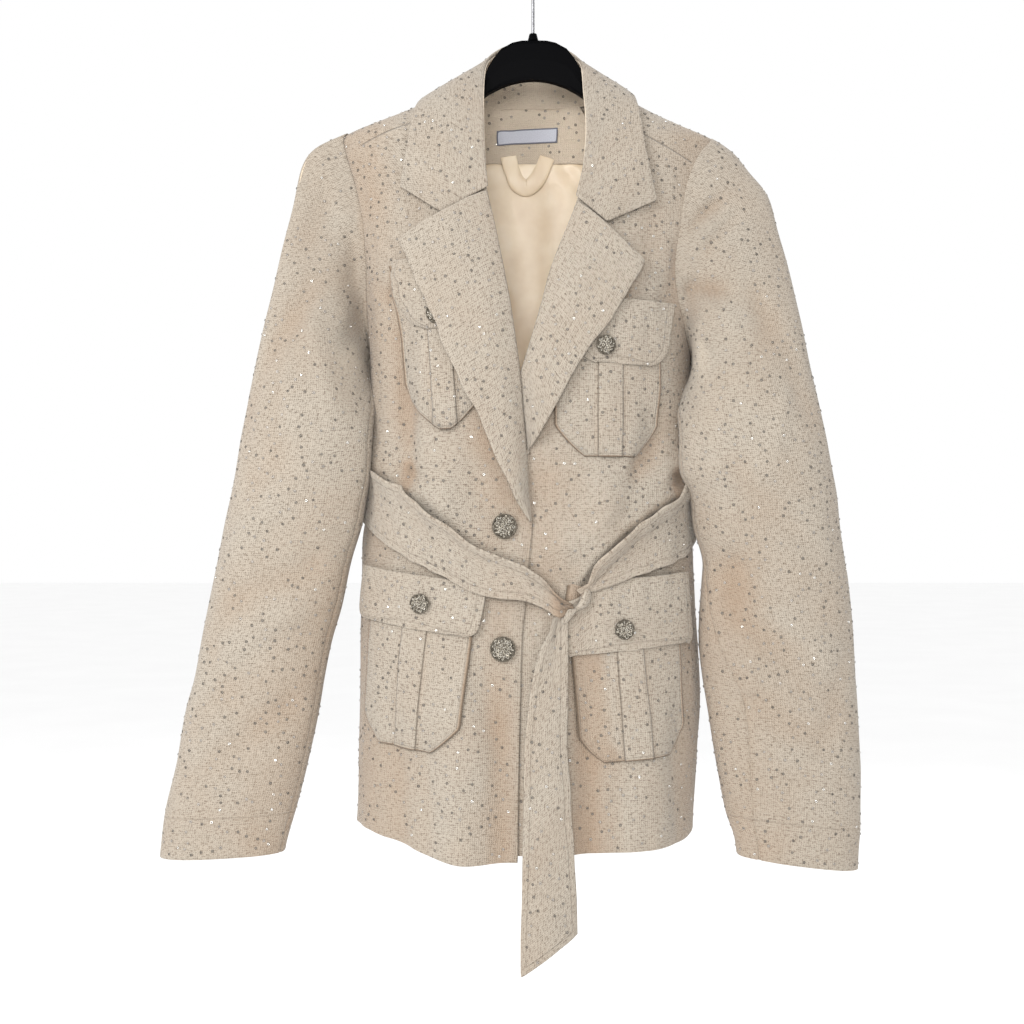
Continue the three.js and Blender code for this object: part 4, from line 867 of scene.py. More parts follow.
def makeSleeves():
    for name, sleeve in sleeves.items():
        for part, columns in (("top", sleeveCloth["columns"]), ("under", sleeveCloth["underColumns"])):
            u, w = unitGrid(columns, sleeveCloth["rows"])
            front, back = frontSeamAt(sleeve, w), sleeveCloth["backSeam"]
            first, last = (back - 360, front) if part == "top" else (front, back)
            angle = mix(first + .12, last - .12, u)
            grid, tint = sleeveGrid(sleeve, angle, w)
            # painted shade on the inner side, towards the body
            inner = np.clip(-np.cos(np.radians(angle)), 0, 1)
            tint = np.clip(tint + inner * .6 * smooth(.4, .6, w), 0, 1)
            # painted light on the lit patch
            x, z, wide, high, amount = sleeve["lit"]
            lit = bell(grid[..., 0] - x, wide) * bell(grid[..., 2] - z, high)
            tint = tint - amount * lit * smooth(-20, -40, grid[..., 1])
            ring = readTable(sleeve["rings"], "z", grid[..., 2])
            axis = np.stack([sleeve["side"] * (ring["inner"] + ring["outer"]) / 2, ring["y"]], -1)
            sew(f"sleeve_{name}_{part}", grid, sleeveCloth["wall"], tweed, inside=satin, stitch=37,
                stitched="b", axis=axis, grain="hem", hollow=tint, hem=34)


makeSleeves()
print("sleeves made")

# Lapels and collar
lapelCloth = {"wall": 2.4, "gap": .6, "columns": 26, "rows": 70}


def lapelGrid(roll, edge, gorge, lift, bend, keepOff=None, pressed=False):
    u, v = unitGrid(lapelCloth["columns"], lapelCloth["rows"])
    bottom = edge["z"][0]
    zIn, zOut = mix(bottom, gorge, v), mix(bottom, edge["z"][-1], v)
    xIn = readTable(roll, "z", zIn)["x"]
    if keepOff is not None:
        xIn = np.maximum(xIn, readTable(keepOff, "z", zIn)["x"] + .8)
    x = mix(xIn, readTable(edge, "z", zOut)["x"], u)
    z = mix(zIn, zOut, u) + bend * np.sin(np.pi * u) * v**8
    rise = lift * (1 - (1 - u) ** 2) * smooth(0, .1, v)
    rise = rise + 1.0 * np.sin(np.pi * np.minimum(u * 1.6, 1)) * smooth(0, .25, v)
    rise = rise + .5 * softNoise(u * 3, v * 7, 21)
    if pressed:
        rise = rise + underlap(x, z)
    return body(placeOf(x, z), z, lapelCloth["gap"] + lapelCloth["wall"] + rise)


def makeLapels():
    right = lapelGrid(rightFrontEdge, rightLapelEdge, -227, 12.2, 2)
    sew("lapel_right", right[::-1], lapelCloth["wall"], tweed)
    left = lapelGrid(leftFrontEdge, leftLapelEdge, -237, 9.4, 2, rightFrontEdge, True)
    sew("lapel_left", left[::-1], lapelCloth["wall"], tweed)


collar = {
    "wall": 2.6, "lift": 7.5, "columns": 120, "rows": 26, "standRows": 12,
    # fold, halfway down the leaf, outer edge; a missing y or z is worked out from the body below
    "stations": [
        ((-43, -65, -224.6), (-84, None, -244.8), (-121, None, -219.5)),
        ((-45, -59, -202), (-82, None, -216), (-119, None, -205)),
        ((-47, -50, -166), (-80, None, -180), (-115, None, -180)),
        ((-48, -26, -126), (-78, -28, None), (-110.5, -31, None)),
        ((-45, 5, -91), (-69, -2, -103), (-101, -3, None)),
        ((-35, 28, -74), (-58, 44, -97), (-88, 40, None)),
        ((-20, 43, -63), (-39, 65, -88), (-62, None, -131)),
        ((0, 49, -59), (0, 69, -83), (0, None, -129)),
        ((20, 43, -63), (38, 65, -88), (56, None, -131)),
        ((36, 28, -74), (57, 44, -97), (82, 40, None)),
        ((46, 5, -91), (66, -2, -102), (93, -3, None)),
        ((48, -26, -126), (73, -28, None), (96, -29, None)),
        ((49, -50, -168), (75, None, -184), (101, None, -180)),
        ((45, -60, -207), (73, None, -222), (107, None, -211)),
        ((39, -68, -233.5), (66, None, -254), (111, None, -232))],
}


def smoothTrack(points, shares):
    # a centripetal Catmull-Rom curve through the points, read at shares of its stations
    points = np.array(points, float)
    first, last = 2 * points[0] - points[1], 2 * points[-1] - points[-2]
    padded = np.vstack([first, points, last])
    places = np.clip(shares, 0, 1) * (len(points) - 1)
    i = np.clip(np.floor(places).astype(int), 0, len(points) - 2)
    w = (places - i)[..., None]
    a, b, c, d = padded[i], padded[i + 1], padded[i + 2], padded[i + 3]
    t1, t2, t3 = (np.maximum(np.linalg.norm(step, axis=-1, keepdims=True) ** .5, 1e-4)
                  for step in (b - a, c - b, d - c))
    m1 = t2 * ((b - a) / t1 - (c - a) / (t1 + t2) + (c - b) / t2)
    m2 = t2 * ((c - b) / t2 - (d - b) / (t2 + t3) + (d - c) / t3)
    return (b * (2 * w**3 - 3 * w**2 + 1) + m1 * (w**3 - 2 * w**2 + w)
            + c * (3 * w**2 - 2 * w**3) + m2 * (w**3 - w**2))


def stationPoint(station, isFront):
    x, y, z = station
    if y is None:
        return (x, depthAt(x, z, isFront) + (-1 if isFront else 1) * collar["lift"], z)
    if z is None:
        return (x, y, heightAt(x, y) + collar["lift"])
    return station


def collarTrack(k):
    return [stationPoint(station[k], i < 4 or i > 10) for i, station in enumerate(collar["stations"])]


def neckSeam():
    def onEdge(edges, z):
        return body(placeOf(readTable(edges, "z", z)["x"], z), z, 0.0) + (0, 0, .4)

    def onBack(turn):
        across = (2 - abs(turn)) / (2 - coat["shoulderSeam"])
        z = mix(coat["backNeck"], coat["shoulderTop"], across**2)
        return body(turn, z, -coat["wall"]) + (0, 0, 1.8)
    return ([onEdge(rightFrontEdge, z) for z in (-226, -200, -166, -140)]
            + [onBack(turn) for turn in (-.88, -1.2, -1.6, 2, 1.6, 1.2, .88)]
            + [onEdge(leftFrontEdge, z) for z in (-144, -170, -204, -230)])


def makeCollar():
    foldTrack, halfTrack, edgeTrack = (collarTrack(k) for k in range(3))
    u, v = unitGrid(collar["columns"], collar["rows"])
    fold = smoothTrack(foldTrack, u) + (0, 0, collar["wall"] + .5)
    half, edge = smoothTrack(halfTrack, u), smoothTrack(edgeTrack, u)
    s = v[..., None]
    curved = fold * (1 - s) * (1 - 2 * s) + half * 4 * s * (1 - s) + edge * s * (2 * s - 1)
    bent = np.where(s < .5, mix(fold, half, s * 2), mix(half, edge, s * 2 - 1))
    grid = mix(curved, bent, smooth(.1, 0, np.minimum(u, 1 - u))[..., None])
    grid = grid + normalsOf(grid) * (-.7 * softNoise(u * 16, v * 2.5, 31))[..., None]
    sew("collar_fall", grid, collar["wall"], tweed)
    u, v = unitGrid(collar["columns"] - 10, collar["standRows"])
    u = .03 + .94 * u
    base, top = smoothTrack(neckSeam(), u), smoothTrack(foldTrack, u)
    point = mix(base, top, (v * .94)[..., None])
    inward = unit(np.stack([-point[..., 0], 10 - point[..., 1], 0 * u], -1))
    # painted light on the stand inside the neck
    sew("collar_stand", point + inward * 2.8, 2.0, tweed, stitched="", faces=-1, hollow=-.65 + 0 * u)


makeLapels()
makeCollar()
print("lapels and collar made")

# Patch pockets
pocketCloth = {
    "bagGap": 1.3, "bagWall": 1.7, "pleat": 1.3, "pleatShare": .115, "rows": 40, "columns": 46,
    "flapGap": 4.6, "flapWall": 2.0, "flapRows": 22, "flapColumns": 44, "flapCut": 12,
    "rim": 2.1,     # the tint of the shadow round its edge
}
pockets = [
    {"name": "chest_right", "x": -88, "z": -290, "wide": 93, "high": 153, "tilt": 4, "cut": 45, "seat": 0,
     "flapWide": 82, "flapHigh": 64, "flapCut": 35, "flapTilt": 2, "shift": 0, "button": (1, -49)},
    {"name": "chest_left", "x": 68, "z": -328, "wide": 99, "high": 139, "tilt": 0, "cut": 28, "seat": -.9,
     "flapWide": 100, "flapHigh": 58, "flapCut": 20, "flapTilt": -3, "shift": 13.5, "button": (-5.5, -40),
     "taper": .18},
    {"name": "hip_right", "x": -101.5, "z": -577, "wide": 103, "high": 152, "tilt": -6.5, "cut": 26,
     "seat": 0,
     "flapWide": 120, "flapHigh": 46, "flapTilt": -9, "shift": -1.5, "button": (1.5, -22)},
    {"name": "hip_left", "x": 80, "z": -580, "wide": 104, "high": 158, "tilt": 5, "cut": 24, "seat": 0,
     "flapWide": 128, "flapHigh": 62, "flapCut": 8, "shift": 2, "button": (-1.5, -42), "dip": 17,
     "shaded": .8},
]


def patchPlaces(x, z, wide, high, tilt, cut, cornerPower, across, down):
    slope = math.tan(math.radians(tilt))
    s = np.clip((down - (high - cut)) / cut, 0, 1)
    inset = cut * .95 * (1 - np.maximum(0, 1 - s**cornerPower) ** (1 / cornerPower))
    aside = across * (wide / 2 - inset)
    level = z - down + aside * slope * .9
    middle = placeOf(x + down * slope * .9, level)
    return walk(middle, level, aside), level, aside


def makePockets():
    rows, columns = pocketCloth["rows"], pocketCloth["columns"]
    for pocket in pockets:
        rowShare = np.sin(np.linspace(0, 1, rows) * np.pi / 2) ** .9
        across, down = np.meshgrid(np.linspace(-1, 1, columns), rowShare * pocket["high"])
        args = [pocket[k] for k in ("x", "z", "wide", "high", "tilt", "cut")]
        p, z, aside = patchPlaces(*args, 1.15, across, down)
        pleatHalf = pocket["wide"] * pocketCloth["pleatShare"]
        ridge = smooth(pleatHalf + 1.4, pleatHalf - .4, np.abs(aside))
        crease = bell(np.abs(aside) - pleatHalf - 1.6, 1.5)
        rise = pocketCloth["pleat"] * ridge - .6 * crease + .5 * softNoise(aside / 26, down / 30, 41)
        rise = rise + 1.2 * np.sin(np.pi * np.clip(down / pocket["high"], 0, 1)) * (1 - across**2)
        grid = body(p, z, pocketCloth["bagGap"] + pocketCloth["bagWall"] + pocket["seat"] + rise)
        # painted shade in the pleat's creases and on the shaded side, and a painted shadow on the rim
        tint = .25 * crease + pocket.get("shaded", 0) * smooth(-.3, -.6, across)
        onRim = (np.abs(across) > .99) | (down > pocket["high"] * .995)
        tint = np.where(onRim, pocketCloth["rim"], tint)
        sew(f"pocket_{pocket['name']}", grid, pocketCloth["bagWall"], tweed, stitch=2.5, stitched="lrb",
            seam=np.abs(aside) - pleatHalf, hollow=tint)
        rowShare = np.sin(np.linspace(0, 1, pocketCloth["flapRows"]) * np.pi / 2)
        across, down = np.meshgrid(np.linspace(-1, 1, pocketCloth["flapColumns"]),
                                   rowShare * pocket["flapHigh"])
        # narrower below, and its far top corner low under the belt's knot
        lowered = down + pocket.get("dip", 0) * smooth(-.45, -1, across) * (1 - down / pocket["flapHigh"])
        narrowed = across * (1 - pocket.get("taper", 0) * down / pocket["flapHigh"])
        flapCut = pocket.get("flapCut", pocketCloth["flapCut"])
        roundness = 2 - .025 * (flapCut - pocketCloth["flapCut"])
        flapTilt = pocket.get("flapTilt", pocket["tilt"])
        p, z, aside = patchPlaces(pocket["x"] + pocket["shift"], pocket["z"] + 2, pocket["flapWide"],
                                  pocket["flapHigh"], flapTilt, flapCut, roundness, narrowed, lowered)
        rise = .4 * softNoise(aside / 24, down / 20, 51) + .8 * (down / pocket["flapHigh"]) ** 2
        grid = body(p, z, pocketCloth["flapGap"] + pocketCloth["flapWall"] + pocket["seat"] + rise)
        sew(f"flap_{pocket['name']}", grid, pocketCloth["flapWall"], tweed, stitch=6.0, stitched="lrb")


makePockets()
print("pockets made")

# Belt
belt = {
    "gap": 7.7, "sideGap": 2.0, "wall": 2.6, "width": 48, "stitch": 5.5, "knotGap": 11.4, "knotWall": 1.8,
    "right": rowsTable("x top bottom", [
        (-163, -474, -522), (-142, -480, -538), (-111, -498, -559), (-80, -520, -575), (-48, -546, -591),
        (-6, -563.5, -596.5), (10, -574, -604), (22, -586, -611), (33, -597, -606)]),
    "left": rowsTable("x top bottom", [
        (36.5, -586, -597), (44, -571.5, -591), (53, -558.5, -588), (70, -541, -582), (101, -517, -570),
        (125.5, -502, -561), (139, -493.5, -554), (149.6, -490.5, -541)]),
    "tail": rowsTable("z left right", [
        (-612.6, 17, 28), (-638, 5.5, 27.5), (-665, -.7, 26.5), (-686, -3.7, 26.8), (-727, -7, 27.5),
        (-768, -7.5, 30), (-820, -8, 31.5), (-889, -9, 33)]),
    "inner": rowsTable("z left right", [
        (-618, 16, 24), (-640, 9, 24), (-700, 0, 24), (-800, -4, 26)]),
}


def beltStretch(rows, columns):
    u, v = unitGrid(columns, 16)
    level = rows["top"][len(rows["top"]) // 2]
    first = placeOf(rows["x"][0], rows["top"][0] - belt["width"] / 2)
    last = placeOf(rows["x"][-1], rows["top"][-1] - belt["width"] / 2)
    p = mix(first, last, u)
    edge = readTable(rows, "x", bodyPlain(p, level + 0 * u)[..., 0])
    z = mix(edge["bottom"], edge["top"], v)
    gap = belt["gap"] + (belt["sideGap"] - belt["gap"]) * smooth(.5, .8, np.abs(p))
    # folds run along the belt where it is gathered into its knot
    narrow = np.clip(1 - (edge["top"] - edge["bottom"]) / 46, 0, 1)
    pleats = narrow * (1.6 * np.sin(v * 9 + u * 3) + .8 * np.sin(v * 17))
    crown = .9 * np.sin(np.pi * v) + .5 * softNoise(u * columns / 9, v * 1.4, 61)
    return body(p, z, gap + belt["wall"] + pleats + crown), narrow


def tailGrid(rows, low, columns, count, gap):
    u, v = unitGrid(columns, count)
    lowest = rows["z"][-1]
    z = mix(mix(low, lowest, u), rows["z"][0], v)
    edge = readTable(rows, "z", np.maximum(z, lowest))
    x = mix(edge["left"], edge["right"], u)
    rise = 1.4 * np.sin(u * np.pi) * smooth(.9, .5, v) + 1.2 * smooth(.75, 1, v) * np.sin(u * 8)
    rise = rise + 1.2 * softNoise(v * 9, u * 1.2, 71)
    return body(placeOf(x, z), z, gap + belt["wall"] + rise)


def makeBelt():
    for side, name, columns in (("right", "belt_front_right", 66), ("left", "belt_front_left", 48)):
        grid, narrow = beltStretch(belt[side], columns)
        # painted shade where the belt is gathered narrow, and painted deep shade at the knot
        knotShade = 1.3 * smooth(4, 27, grid[..., 0]) * (side == "right")
        sew(name, grid, belt["wall"], tweed, stitch=belt["stitch"], stitched="tb",
            hollow=.4 * narrow + knotShade)
    u, v = unitGrid(110, 16)
    p = mix(-1.004, -2.996, u)
    top = mix(-474, -492, smooth(0, 1, u)) - 4 * np.sin(np.pi * u)
    z = top - belt["width"] * (1 - v)
    crown = .9 * np.sin(np.pi * v) + .5 * softNoise(u * 12, v * 1.4, 63)
    grid = body(p, z, belt["sideGap"] + belt["wall"] + crown)
    sew("belt_back", grid, belt["wall"], tweed, stitch=belt["stitch"], stitched="tb")
    tails = {"belt_tail": tailGrid(belt["tail"], -925, 20, 90, belt["gap"]),
             "belt_tail_inner": tailGrid(belt["inner"], -812, 10, 40, 1.2)}
    for name, grid in tails.items():
        sew(name, grid, belt["wall"], tweed, stitch=belt["stitch"], stitched="lrt", turned=True)
    u, v = unitGrid(16, 30)
    half = 1.5 + .8 * np.sin(v * 3.1)
    x = mix(43.5, 26, v) + half * (u * 2 - 1)
    z = mix(-587, -616, v) - half * .5 * (u * 2 - 1)
    rise = 1.2 * np.sin(np.pi * u) + .4 * np.sin(v * 9)
    grid = body(placeOf(x, z), z, belt["knotGap"] + belt["knotWall"] + rise)
    sew("belt_knot", grid, belt["knotWall"], tweed, stitched="")


makeBelt()
print("belt made")

# Inside the neck
liningReach = rowsTable("z q", [
    (-776, .86), (-420, .8), (-375, .72), (-300, .66), (-215, .6), (-190, .4), (-172, .26)])


loopForm = {
    "half": 7.4,
    "route": [(-23.5, -164), (-21, -177), (-15.5, -189), (-6, -194.5), (3.5, -188), (10, -178), (15, -165)],
}


def makeInside():
    u, v = unitGrid(60, 20)
    facing = body(2 + mix(-1, 1, u) * mix(.24, .42, v), mix(-171, -116.5, v),
                  mix(-6.8, -3.0, smooth(.82, 1, v)))
    # painted light on the facing inside the neck
    sew("neck_facing", facing, 1.4, tweed, stitched="", faces=-1, hollow=-.75 + 0 * u)
    u, v = unitGrid(110, 90)
    z = mix(-776, -172, 1 - (1 - v) ** 1.2)
    pleat = 3 * bell(u - .5, .05) * v
    soft = 1.1 * softNoise(u * 9, v * 3, 81) + .8 * np.sin(u * 46 + 2 * np.sin(v * 4)) * smooth(.6, 1, v)
    p = 2 + mix(-1, 1, u) * readTable(liningReach, "z", z)["q"]
    lining = body(p, z, -(coat["wall"] + 4.0) - pleat + soft * .8)
    sew("lining_back", lining, .8, satin, "lining", stitched="", faces=-1)
    u, v = unitGrid(30, 8)
    z = mix(-151.5, -137.5, v) + 1.6 * (u * 2 - 1)
    label = body(2 - placeOf(-5 + 30 * (u * 2 - 1), z), z, -8.2)
    sew("label", label, .7, labelCloth, "label", stitch=1.0, faces=-1)
    u, v = np.meshgrid(np.linspace(0, 1, 60), np.linspace(-1, 1, 6))
    route = smoothTrack([(x, 0, z) for x, z in loopForm["route"]], u)
    ahead = unit(np.gradient(route, axis=1)) * loopForm["half"]
    x, z = route[..., 0] - ahead[..., 2] * v, route[..., 2] + ahead[..., 0] * v
    loop = body(2 - placeOf(x, z), z, -8.4 - 3 * np.sin(np.pi * u) - .5 * np.cos(v * 1.5))
    sew("hanging_loop", loop, 1.0, satin, "lining", stitched="", faces=-1)


makeInside()
print("inside made")

# Sequins, in wandering chains over every piece that shows
sequin = {
    "radius": 1.3, "hole": .45, "sides": 8, "perArea": .0058, "apart": 5.2, "margin": 3.0,
    "step": (6.5, 12.5), "chain": (2, 8), "turn": .5, "starts": 6, "tries": 60,
    # shares of painted dark reflection, painted grey reflection and painted bright glint
    "shares": (.47, .46, .07),    # dark, grey and bright
    "regions": {
        "fronts": ["front_right", "front_left"],
        "back": ["back"],
        "sleeve_right": ["sleeve_right_top", "sleeve_right_under"],
        "sleeve_left": ["sleeve_left_top", "sleeve_left_under"],
        "collar": ["collar_fall", "collar_stand", "lapel_right", "lapel_left", "neck_facing"],
        "pockets": [f"{part}_{pocket['name']}" for pocket in pockets for part in ("pocket", "flap")],
        "belt": [f"belt_{part}"
                 for part in ("front_right", "front_left", "back", "tail", "tail_inner", "knot")],
    },
}


def atPlace(values, j, i):
    a, b = int(j), int(i)
    s, t = j - a, i - b
    return mix(mix(values[a, b], values[a, b + 1], t), mix(values[a + 1, b], values[a + 1, b + 1], t), s)


def strewPlaces(shell, random):
    grid, normal = shell["grid"], shell["normal"]
    rows, columns = grid.shape[:2]
    wide = np.linalg.norm(np.gradient(grid, axis=1), axis=-1)
    high = np.linalg.norm(np.gradient(grid, axis=0), axis=-1)
    lastRow, lastColumn = rows - 1.01, columns - 1.01
    target = int(shell["area"] * sequin["perArea"])
    found = np.zeros((0, 3))
    normals = []
    tries = 0
    while len(found) < target and tries < sequin["tries"] * target:
        # a chain starts where there are fewest
        starts = [(random.uniform(0, lastRow), random.uniform(0, lastColumn))
                  for k in range(sequin["starts"])]
        room = [np.min(np.sum((found - atPlace(grid, *start)) ** 2, axis=1)) if len(found) else 1
                for start in starts]
        j, i = starts[int(np.argmax(room))]
        heading = random.uniform(0, 2 * math.pi)
        for link in range(random.integers(*sequin["chain"])):
            tries += 1
            cellWide, cellHigh = atPlace(wide, j, i), atPlace(high, j, i)
            marginX, marginY = sequin["margin"] / cellWide, sequin["margin"] / cellHigh
            if not (marginX < i < lastColumn - marginX and marginY < j < lastRow - marginY):
                break
            place = atPlace(grid, j, i)
            if len(found) == 0 or np.min(np.sum((found - place) ** 2, axis=1)) > sequin["apart"] ** 2:
                found = np.vstack([found, place])
                normals.append(atPlace(normal, j, i))
            heading += random.normal(0, sequin["turn"])
            step = random.uniform(*sequin["step"])
            i += math.cos(heading) * step / cellWide
            j += math.sin(heading) * step / cellHigh
            if not (0 <= i < lastColumn and 0 <= j < lastRow):
                break
    return found, np.array(normals)


def makeSequins():
    sides = sequin["sides"]
    turn = np.arange(sides) * 2 * np.pi / sides
    hole, middle, rim = sequin["hole"], sequin["radius"] * .6, sequin["radius"]
    profile = [(hole, .30), (middle, .62), (rim, .42), (middle, .22)]
    ring = [(r * math.cos(a), r * math.sin(a), h) for a in turn for r, h in profile]
    ring = np.array(ring)
    quads = []
    for k in range(sides):
        here, there = 4 * k, 4 * ((k + 1) % sides)
        quads += [(here + n, there + n, there + (n + 1) % 4, here + (n + 1) % 4) for n in range(4)]
    quads = np.array(quads)
    random = np.random.default_rng(7)
    total = 0
    for region, names in sequin["regions"].items():
        vertices, faces, kinds = [], [], []
        for name in names:
            places, normals = strewPlaces(shells[name], random)
            for place, normal in zip(places, normals):
                axis = normal / np.linalg.norm(normal) + random.normal(0, .13, 3)
                axis /= np.linalg.norm(axis)
                across = np.cross(axis, (0.0, 0.0, 1.0) if abs(axis[2]) < .9 else (1.0, 0.0, 0.0))
                across /= np.linalg.norm(across)
                frameAxes = np.stack([across, np.cross(axis, across), axis])
                faces.append(quads + len(vertices) * len(ring))
                vertices.append(place + (ring * random.uniform(.9, 1.08)) @ frameAxes)
                kinds += [int(random.choice(3, p=sequin["shares"]))] * len(quads)
        total += len(vertices)
        faces = [tuple(face) for face in np.concatenate(faces)]
        piece = makeMesh(f"sequins_{region}", np.concatenate(vertices), faces, {},
                         [sequinDarkReflection, sequinGreyReflection, sequinBrightGlint], kinds)
        finishPiece(piece, None)
    print("sequins sewn on:", total)


makeSequins()

# Buttons: a shank, a plate with a rim, and a dome under a tangle of small curls
buttonForm = {
    "small": {"radius": 9, "thick": 4.2, "curls": 26},
    "large": {"radius": 11.3, "thick": 5.0, "curls": 38},
    "shank": 1.3,
    "dome": (.86, .36, .5),     # its radius by the button's, its foot and height by the thickness
    "spiral": 2.39996,          # turn from curl to curl, as in a sunflower
    "places": [("front_upper", -26, -530, 0.1, "large"), ("front_lower", -28, -639, 0.1, "large")],
}
flapTop = pocketCloth["flapGap"] + pocketCloth["flapWall"] + .7
for pocket in pockets:
    x, z = pocket["x"] + pocket["button"][0], pocket["z"] + pocket["button"][1]
    buttonForm["places"].append((pocket["name"], x, z, flapTop + pocket["seat"], "small"))


def buttonMesh(size, seedNumber):
    form = buttonForm[size]
    radius, thick, shank = (value * mm for value in (form["radius"], form["thick"], buttonForm["shank"]))
    random = np.random.default_rng(seedNumber)
    bpy.ops.object.select_all(action="DESELECT")
    parts = []

    def keep(material):
        bpy.context.object.data.materials.append(material)
        parts.append(bpy.context.object)
        return bpy.context.object
    domeShare, footShare, highShare = buttonForm["dome"]
    domeRadius, foot, domeHigh = radius * domeShare, thick * footShare, thick * highShare
    bpy.ops.mesh.primitive_cylinder_add(vertices=24, radius=radius * .35, depth=shank + .0006,
                                        location=(0, 0, shank / 2))
    keep(buttonPewter)
    bpy.ops.mesh.primitive_cylinder_add(vertices=56, radius=radius * .93, depth=.0014,
                                        location=(0, 0, shank + .0009))
    keep(buttonPewter)
    bpy.ops.mesh.primitive_torus_add(major_radius=radius * .92, minor_radius=radius * .08, major_segments=56,
                                     minor_segments=10, location=(0, 0, shank + thick * .42))
    keep(buttonPewter)
    bpy.ops.mesh.primitive_uv_sphere_add(segments=48, ring_count=20, radius=domeRadius,
                                         location=(0, 0, shank + foot))
    keep(buttonPewter).scale = (1, 1, domeHigh / domeRadius)
    for k in range(form["curls"]):
        out = radius * .80 * math.sqrt((k + .4) / form["curls"])
        turn = k * buttonForm["spiral"]
        x, y = out * math.cos(turn), out * math.sin(turn)
        height = shank + foot + domeHigh * math.sqrt(max(0, 1 - (out / domeRadius) ** 2)) + .2 * mm
        bpy.ops.mesh.primitive_torus_add(major_radius=random.uniform(.8, 1.45) * mm, minor_radius=.38 * mm,
                                         major_segments=12, minor_segments=6, location=(x, y, height),
                                         rotation=(random.normal(0, .45), random.normal(0, .45), turn))
        keep(buttonSilver).scale = (1, random.uniform(.55, 1), .9)
    for part in parts:
        part.select_set(True)
    bpy.context.view_layer.objects.active = parts[0]
    bpy.ops.object.join()
    bpy.ops.object.transform_apply(location=True, rotation=True, scale=True)
    bpy.ops.object.shade_smooth_by_angle(angle=math.radians(40))
    return bpy.context.object


def makeButtons():
    for k, (name, x, z, out, size) in enumerate(buttonForm["places"]):
        p = placeOf(np.array([x], float), np.array([z], float))
        corner = [body(p + dp, np.array([z + dz], float), out)[0]
                  for dp, dz in ((0, 0), (.01, 0), (0, 4))]
        up = np.cross(corner[1] - corner[0], corner[2] - corner[0])
        normal = Vector(up / np.linalg.norm(up))
        button = buttonMesh(size, 20 + k)
        button.name = f"button_{name}_look"
        turned = normal.to_track_quat("Z", "Y").to_matrix().to_4x4()
        button.data.transform(Matrix.Translation(Vector(corner[0] * mm)) @ turned)
        finishPiece(button, f"button_{name}")


makeButtons()
print("buttons made")

# Hanger: the dome fuller under its ferrule, and a wire hook
hangerForm = {
    "wire": 1.5, "ferrule": (-70.5, -63.5), "radii": (5.2, 3.4), "slide": .8,
    "arm": (50, 110, 6, 9),     # from and to which x, and how much shorter and lower it gets
    "dome": rowsTable("z full", [
        (-125, 1), (-112, 1.0), (-101, 1.045), (-92, 1.075), (-85, 1.055), (-77, 1.0), (-70, .98)]),
    "hook": [
        (0, -66), (0, -56), (0, -44), (0, -36), (0, -31.5), (.8, -28.6), (4, -26.2), (9, -23), (12.2, -19),
        (14, -12.4), (12.1, -5.4), (7, -.3), (0, 1.6), (-7, -.3), (-12.1, -5.4), (-14, -12.4),
        (-13.2, -17.5)],
}


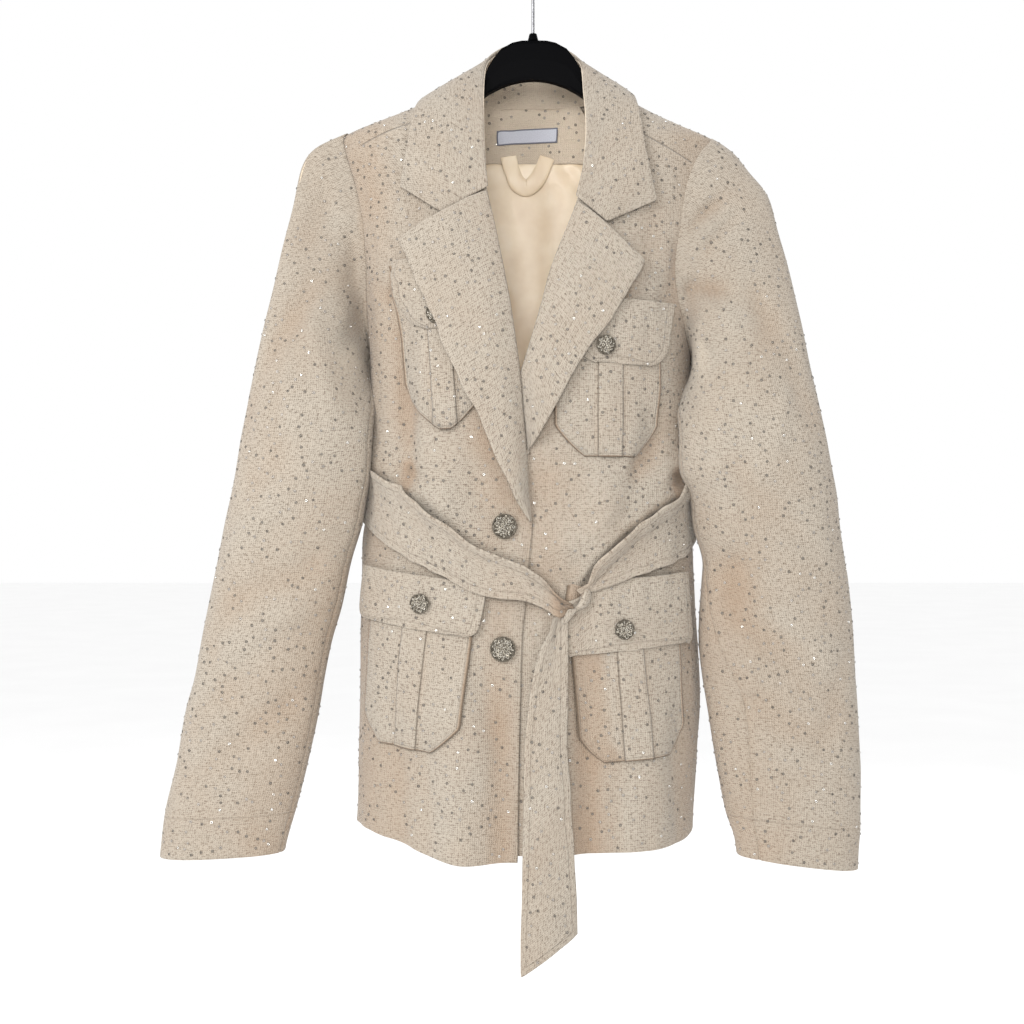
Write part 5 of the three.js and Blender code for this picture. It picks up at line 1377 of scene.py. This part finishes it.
def makeHanger():
    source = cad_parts["hanger_body"]
    dome = bpy.data.objects.new("hanger_look", source.data.copy())
    bpy.context.collection.objects.link(dome)
    toWorld = source.matrix_world
    bpy.ops.object.select_all(action="DESELECT")
    bpy.context.view_layer.objects.active = dome
    bpy.ops.object.mode_set(mode="EDIT")
    bpy.ops.mesh.select_all(action="SELECT")
    bpy.ops.mesh.subdivide(number_cuts=1)
    bpy.ops.object.mode_set(mode="OBJECT")
    armStart, armEnd, shorter, lower = hangerForm["arm"]
    for vertex in dome.data.vertices:
        place = toWorld @ vertex.co / mm
        near = float(smooth(-125, -92, place.z))
        full = float(readTable(hangerForm["dome"], "z", place.z)["full"])
        place.x = place.x * full + hangerForm["slide"] * near
        arm = float(smooth(armStart, armEnd, abs(place.x)))
        place.x -= shorter * arm * math.copysign(1, place.x)
        place.z -= lower * arm
        vertex.co = place * mm
    dome.data.materials.clear()
    dome.data.materials.append(hangerPlastic)
    bpy.ops.object.select_all(action="DESELECT")
    dome.select_set(True)
    bpy.context.view_layer.objects.active = dome
    bpy.ops.object.shade_smooth_by_angle(angle=math.radians(50))
    finishPiece(dome, "hanger_body")
    low, high = hangerForm["ferrule"]
    wide, narrow = hangerForm["radii"]
    bpy.ops.object.select_all(action="DESELECT")
    bpy.ops.mesh.primitive_cone_add(vertices=40, radius1=wide * mm, radius2=narrow * mm,
                                    depth=(high - low) * mm, location=(0, 0, (high + low) / 2 * mm))
    ferrule = bpy.context.object
    ferrule.name = "ferrule_look"
    bpy.ops.object.transform_apply(location=True, rotation=True, scale=True)
    bpy.ops.object.mode_set(mode="EDIT")
    bpy.ops.mesh.select_all(action="SELECT")
    bpy.ops.mesh.bevel(offset=.0007, segments=3)
    bpy.ops.object.mode_set(mode="OBJECT")
    ferrule.data.materials.append(hangerPlastic)
    bpy.ops.object.shade_smooth_by_angle(angle=math.radians(60))
    finishPiece(ferrule, "hanger_ferrule")
    line = bpy.data.curves.new("hook_look", "CURVE")
    line.dimensions, line.bevel_depth = "3D", hangerForm["wire"] * mm
    line.bevel_resolution, line.use_fill_caps = 5, True
    spline = line.splines.new("POLY")
    route = smoothTrack([(x, 0, z) for x, z in hangerForm["hook"]], np.linspace(0, 1, 120))
    spline.points.add(len(route) - 1)
    for point, place in zip(spline.points, route):
        point.co = (*(place * mm), 1)
    hook = bpy.data.objects.new("hook_look", line)
    bpy.context.collection.objects.link(hook)
    bpy.ops.object.select_all(action="DESELECT")
    hook.select_set(True)
    bpy.context.view_layer.objects.active = hook
    bpy.ops.object.convert(target="MESH")
    hook = bpy.context.object
    hook.data.materials.append(hookSteel)
    hook.data.polygons.foreach_set("use_smooth", [True] * len(hook.data.polygons))
    finishPiece(hook, "hanger_hook")


makeHanger()
print("hanger made")
# Camera, floor and light
bpy.ops.object.select_all(action="DESELECT")
shot = {"place": (-.020, -1.370, -.517), "lens": 50.77, "sensor": 36, "floor": -1.32}
bpy.ops.object.camera_add(location=shot["place"], rotation=(math.pi / 2, 0, 0))
camera = bpy.context.object
camera.data.lens = shot["lens"]
camera.data.sensor_width = shot["sensor"]
camera.data.clip_end = 60
bpy.context.scene.camera = camera
bpy.ops.mesh.primitive_plane_add(size=30, location=(0, 0, shot["floor"]))
floor = bpy.context.object
floor.name = "floor"
paleFloor = makePlain("paleFloor", (.94, .94, .94, 1), (.96, .96, .96, 1), .9, scale=3.0)
floor.data.materials.append(paleFloor)
lights = [
    {"place": (-1.35, -1.65, .35), "size": .9, "power": 30, "aim": (0, 0, -.5)},
    {"place": (-.15, -2.6, -.1), "size": .8, "power": 32, "aim": (0, 0, -.3)},
    {"place": (0.6, 1.9, 1.0), "size": 1.6, "power": 20, "aim": (0, 0, -.4)},
]
for light in lights:
    bpy.ops.object.light_add(type="AREA", location=light["place"])
    lamp = bpy.context.object
    lamp.data.size, lamp.data.energy = light["size"], light["power"]
    lamp.rotation_euler = (Vector(light["aim"]) - Vector(light["place"])).to_track_quat("-Z", "Y").to_euler()
world = bpy.data.worlds.new("studio")
bpy.context.scene.world = world
world.use_nodes = True
world.node_tree.nodes["Background"].inputs["Color"].default_value = (1, 1, 1, 1)
world.node_tree.nodes["Background"].inputs["Strength"].default_value = 1.0
bpy.context.scene.view_settings.view_transform = "Standard"
print("camera, floor and light made")
